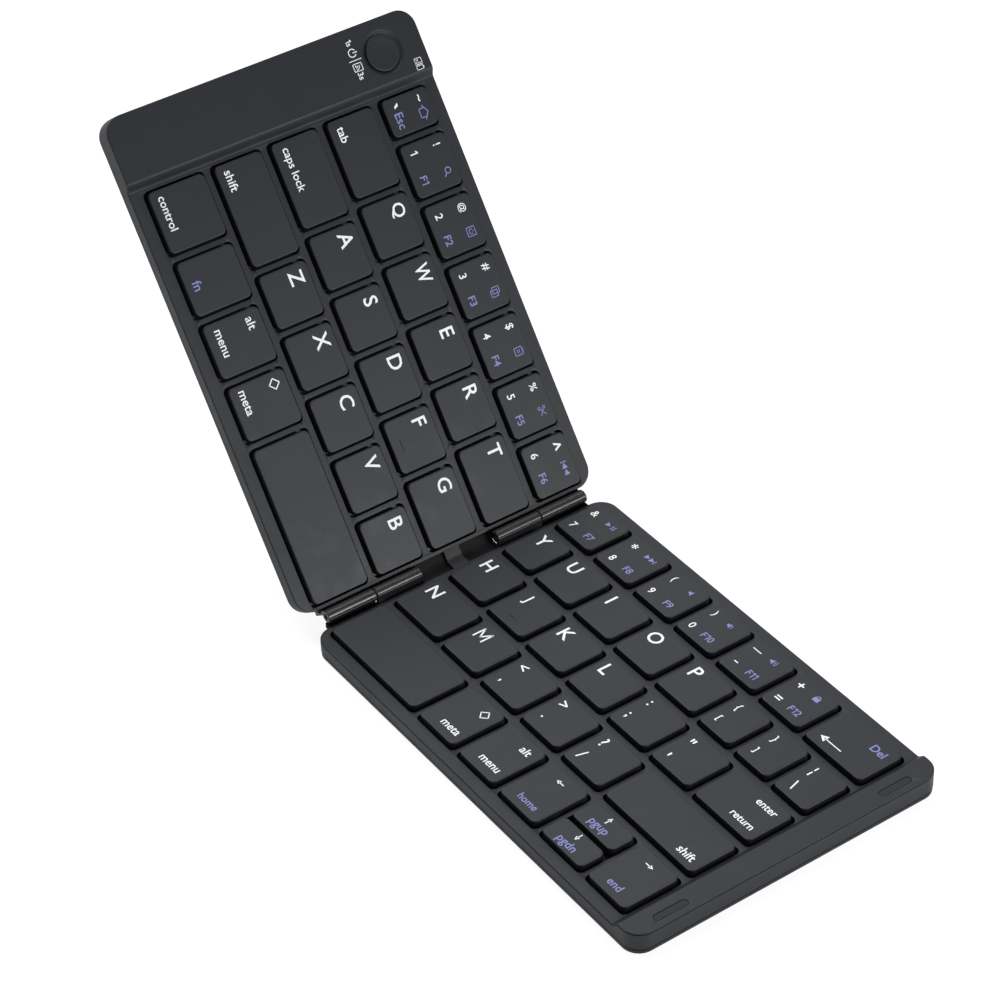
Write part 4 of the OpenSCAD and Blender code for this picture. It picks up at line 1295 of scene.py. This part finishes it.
def barrel_profile(groove):
    """A round section with four grooves along its upper side, counterclockwise."""
    grooves = [90 - a for a in (-70, -25, 25, 70)]
    half_width = math.degrees(groove / 2 / KNUCKLE_R)
    depth = groove / 2
    marks = []
    for g in grooves:
        for way in (-1, 1):
            marks += [
                (g + way * half_width * out, depth * down)
                for out, down in ((1.5, 0), (1, 0.35), (0.6, 1))
            ]
    for a in range(0, 360, 6):
        if all(abs((a - g + 180) % 360 - 180) > half_width * 1.5 + 1.5 for g in grooves):
            marks.append((a, 0))
    marks.sort(key=lambda mark: mark[0] % 360)
    turned = [(math.radians(a), KNUCKLE_R - down) for a, down in marks]
    return [(r * math.cos(a), AXIS_Z + r * math.sin(a)) for a, r in turned]


class KEYBOARD_OT_strap(KeyboardStep, bpy.types.Operator):
    """Build the flexible strap that crosses the hinge"""

    bl_idname = "keyboard.strap"
    bl_label = "Flexible Strap"

    # Distances under the axis of the upper and lower face of the raised strip, the sheet and
    # the walls along the sheet's ends
    strip, sheet, wall = (2.1, 3.15), (3.2, 3.6), (1.5, 3.19)
    strip_y, wall_t = 2.4, 0.25

    def execute(self, context):
        form = Form("right")
        self.band(form, -self.strip_y, self.strip_y, self.strip, 0)
        # The sheet and the walls at its ends take the near-black rubber: painted shade in the
        # recesses beside the strip
        self.band(form, -SHEET_Y, SHEET_Y, self.sheet, 1)
        for y in (-SHEET_Y, SHEET_Y - self.wall_t):
            self.band(form, y, y + self.wall_t, self.wall, 1)
        finishes = ["strap_rubber", "sheet_rubber"]
        names = ("hinge_strap", finishes, None, "strap", "hinge_flex_strap")
        piece = form.make(*names, ROUND_SHARP)
        beside, under = 0.35, -sum(self.sheet) / 2
        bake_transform(piece)
        return {"FINISHED"}

    @staticmethod
    def line(reach):
        """A line from half to half at a distance under the axis, as (u, z) in the right half's
        terms."""
        steps = 20
        points = [Vector((u, AXIS_Z - reach)) for u in (HINGE_U + 0.03, 1.0)]
        for k in range(steps + 1):
            a = RAISE * k / steps
            points.append(Vector((-reach * math.sin(a), AXIS_Z - reach * math.cos(a))))
        out, last = Vector((-math.cos(RAISE), math.sin(RAISE))), points[-1]
        return points + [last + out, last + out * (HINGE_U + 0.03)]

    def band(self, form, y0, y1, reaches, finish):
        """A closed band between two distances under the axis, with softened long edges."""
        soft, rows = 0.1, []
        for up, low in zip(*map(self.line, reaches)):
            share = soft / (up - low).length
            mid_up, mid_low = up.lerp(low, share), low.lerp(up, share)
            section = [(y0 + soft, up), (y1 - soft, up), (y1, mid_up), (y1, mid_low)]
            section += [(y1 - soft, low), (y0 + soft, low), (y0, mid_low), (y0, mid_up)]
            rows.append([form.bm.verts.new((p.x, y, p.y)) for y, p in section])
        form.solid(rows, finish)


class KEYBOARD_OT_power_button(KeyboardStep, bpy.types.Operator):
    """Build the round power button with its softened rim, flange and stem"""

    bl_idname = "keyboard.power_button"
    bl_label = "Power Button"

    def execute(self, context):
        (r,) = measures(context, "button")
        form = Form("left")
        profile = [(1.2, 3.95), (1.2, 5.0), (5.5, 5.0), (5.55, 5.05), (5.55, 5.45), (5.5, 5.5)]
        profile += [(r, 5.5)] + [(r - inset, BLOCK_Z - drop) for inset, drop in fillet(0.3, 5)]
        dish = [(r - 0.55, 0.005), (r - 1.6, 0.04), (2.2, 0.09), (0.8, 0.1)]
        form.tube(*BUTTON, profile + [(r, BLOCK_Z - down) for r, down in dish], 0, 72)
        form.make("round_button", ["button_plastic"], "power_button", "keycap", "power_button")
        return {"FINISHED"}


class KEYBOARD_OT_pads(KeyboardStep, bpy.types.Operator):
    """Build the feet and the stop pads"""

    bl_idname = "keyboard.pads"
    bl_label = "Feet and Stop Pads"

    def execute(self, context):
        names = ("foot_length", "foot_width", "pad_length", "pad_width")
        long, wide, pad_long, pad_wide = measures(context, *names)
        for half in ("left", "right"):
            form = Form(half)
            for place in FOOT_PLACES:
                box = box_at(place, long, wide - 0.1)
                self.pad(form, box, (wide - 0.1) / 2, FLOOR_Z + 0.24, 0.0, 0.14)
            form.make_half("rubber_feet", ["foot_rubber"], "rubber", "feet")
        form = Form("right")
        for place in PADS:
            box = box_at(place, pad_wide - 0.1, pad_long - 0.1)
            self.pad(form, box, (pad_wide - 0.1) / 2, BLOCK_Z - 0.59, BLOCK_Z - 0.1, 0.16)
        form.make("rubber_stop_pads", ["pad_rubber"], "right_half", "rubber", "right_stop_pads")
        return {"FINISHED"}

    @staticmethod
    def pad(form, box, radius, held, free, edge):
        """A pad from the face that is held to the free face, whose edge is rounded."""
        way = 1 if free > held else -1
        rows = [(0, held)] + [(-inset, free - way * drop) for inset, drop in fillet(edge, 4)]
        form.solid(form.rims(box, radius, rows, 10))


class KEYBOARD_OT_inside(KeyboardStep, bpy.types.Operator):
    """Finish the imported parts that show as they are: plates, pins, board and what is inside"""

    bl_idname = "keyboard.inside"
    bl_label = "Inside Parts"

    shown = {
        # The plate's finish is near-black: painted shade in the gaps around the caps
        "support_plate": "plate_steel",
        "screws": "screw_steel",
        "magnets": "magnet_nickel",
        "hinge_pins": "pin_steel",
        "battery": "battery_foil",
        "main_board": "board_mask",
        "charging_socket": "socket_steel",
        "indicator_lens": "lens_plastic",
    }

    def execute(self, context):
        for name, node in frame["nodes"].items():
            if node.hide_render:
                continue
            wanted = [m for part, m in self.shown.items() if name.endswith(part)]
            if not wanted:
                raise RuntimeError("no finish for " + name)
            node.data.materials.clear()
            node.data.materials.append(bpy.data.materials[wanted[0]])
            for polygon in node.data.polygons:
                polygon.use_smooth = True
            node.data.set_sharp_from_angle(angle=math.radians(35))
        return {"FINISHED"}


class KEYBOARD_OT_stage(KeyboardStep, bpy.types.Operator):
    """Make the floor, the soft lights, the surroundings and the camera"""

    bl_idname = "keyboard.stage"
    bl_label = "Stage"

    def execute(self, context):
        self.floor(context.scene.keyboard_finishes)
        self.surroundings(context.scene)
        self.lamp("sky_panel", (-0.75, 0.55, 0.85), 0.9, 1.0, 3.0)
        self.lamp("side_panel", (0.5, 0.18, 0.19), 0.24, 0.16, 2.3)
        self.lamp("high_panel", (-0.55, -0.1, 1.0), 0.8, 0.8, 10.5)
        self.camera(context.scene)
        context.scene.view_settings.view_transform = "Standard"
        return {"FINISHED"}

    @staticmethod
    def floor(look):
        """A wide sheet of paper, which the camera sees as nearly white."""
        bm = bmesh.new()
        bmesh.ops.create_grid(bm, x_segments=12, y_segments=12, size=3.0)
        ground = plant(bm, "studio_floor")
        paper = bpy.data.materials.new("floor_paper")
        shader = Shader(paper)
        shade = shader.tinted(look.floor, shader.noise(700.0, 3.0, 0.6), 0.01)
        lit = shader.node("BsdfDiffuse", Color=shade, Roughness=0.5)
        faint = shader.node("BsdfDiffuse", Color=(0.2, 0.2, 0.2))
        glow = shader.node("Emission", Color=(1, 1, 1), Strength=0.86)
        seen = shader.node("AddShader", at_0=faint, at_1=glow)
        camera, gloss = (shader.node("LightPath", f"Is {ray} Ray") for ray in ("Camera", "Glossy"))
        direct = (camera + gloss * 0.6).limited()
        shader.surface(shader.node("MixShader", at_0=direct, at_1=lit, at_2=seen))
        ground.data.materials.append(paper)

    @staticmethod
    def surroundings(scene):
        scene.world = bpy.data.worlds.new("studio")
        shader = Shader(scene.world)
        camera = shader.node("LightPath", "Is Camera Ray")
        dim = shader.node("Background", Color=(0.86, 0.93, 1.0), Strength=0.3)
        white = shader.node("Background", Color=(1, 1, 1), Strength=1.0)
        mixed = shader.node("MixShader", at_0=camera, at_1=dim, at_2=white)
        shader.surface(mixed, "OutputWorld")

    @staticmethod
    def lamp(name, place, width, height, power):
        """A soft panel aimed at the middle of the keyboard."""
        light = bpy.data.lights.new(name, "AREA")
        light.shape = "RECTANGLE"
        light.size, light.size_y = width, height
        light.energy = power
        lamp = bpy.data.objects.new(name, light)
        aim = Vector((0.0, 0.0, 0.03))
        lamp.location = Vector(place)
        lamp.rotation_euler = (Vector(place) - aim).to_track_quat("Z", "Y").to_euler()
        bpy.context.scene.collection.objects.link(lamp)

    @staticmethod
    def camera(scene):
        """The camera as it was solved from the photograph."""
        data = bpy.data.cameras.new("camera")
        data.lens, data.sensor_width = 117.55, 36.0
        data.dof.use_dof = False
        data.clip_start, data.clip_end = 0.05, 20.0
        camera = bpy.data.objects.new("camera", data)
        right = Vector((0.57978, 0.81432, -0.02725))
        up = Vector((-0.4966, 0.37968, 0.78053))
        turn = Matrix((right, up, right.cross(up))).transposed()
        place = (HINGE.x + 0.54737, -0.35805, HINGE.z + 0.54077)
        camera.matrix_world = Matrix.Translation(place) @ turn.to_4x4()
        scene.collection.objects.link(camera)
        scene.camera = camera


class KEYBOARD_PT_steps(bpy.types.Panel):
    """Steps that build the keyboard"""

    bl_idname = "KEYBOARD_PT_steps"
    bl_label = "Folding Keyboard"
    bl_space_type = "VIEW_3D"
    bl_region_type = "UI"
    bl_category = "Keyboard"

    def draw(self, context):
        column = self.layout.column(align=True)
        for step in OPERATORS:
            column.operator(step.bl_idname)
        for title, group in (("Sizes", "keyboard_sizes"), ("Finishes", "keyboard_finishes")):
            box = self.layout.box()
            box.label(text=title)
            settings = getattr(context.scene, group)
            for name in settings.__annotations__:
                box.prop(settings, name)


OPERATORS = [
    KEYBOARD_OT_finishes,
    KEYBOARD_OT_caps,
    KEYBOARD_OT_top_frame,
    KEYBOARD_OT_bottom_cover,
    KEYBOARD_OT_switches,
    KEYBOARD_OT_knuckles,
    KEYBOARD_OT_strap,
    KEYBOARD_OT_power_button,
    KEYBOARD_OT_pads,
    KEYBOARD_OT_inside,
    KEYBOARD_OT_stage,
]
CLASSES = [KEYBOARD_PG_sizes, KEYBOARD_PG_finishes, *OPERATORS, KEYBOARD_PT_steps]


def register():
    for each in CLASSES:
        bpy.utils.register_class(each)
    bpy.types.Scene.keyboard_sizes = PointerProperty(type=KEYBOARD_PG_sizes)
    bpy.types.Scene.keyboard_finishes = PointerProperty(type=KEYBOARD_PG_finishes)


def unregister():
    del bpy.types.Scene.keyboard_finishes
    del bpy.types.Scene.keyboard_sizes
    for each in reversed(CLASSES):
        bpy.utils.unregister_class(each)


def main():
    register()
    steps = bpy.ops.keyboard
    steps.finishes()
    for half in ("left", "right"):
        steps.caps(half=half)
        steps.top_frame(half=half)
        steps.bottom_cover(half=half)
        steps.switches(half=half)
    steps.knuckles()
    steps.strap()
    steps.power_button()
    steps.pads()
    steps.inside()
    steps.stage()


if __name__ == "__main__":
    main()
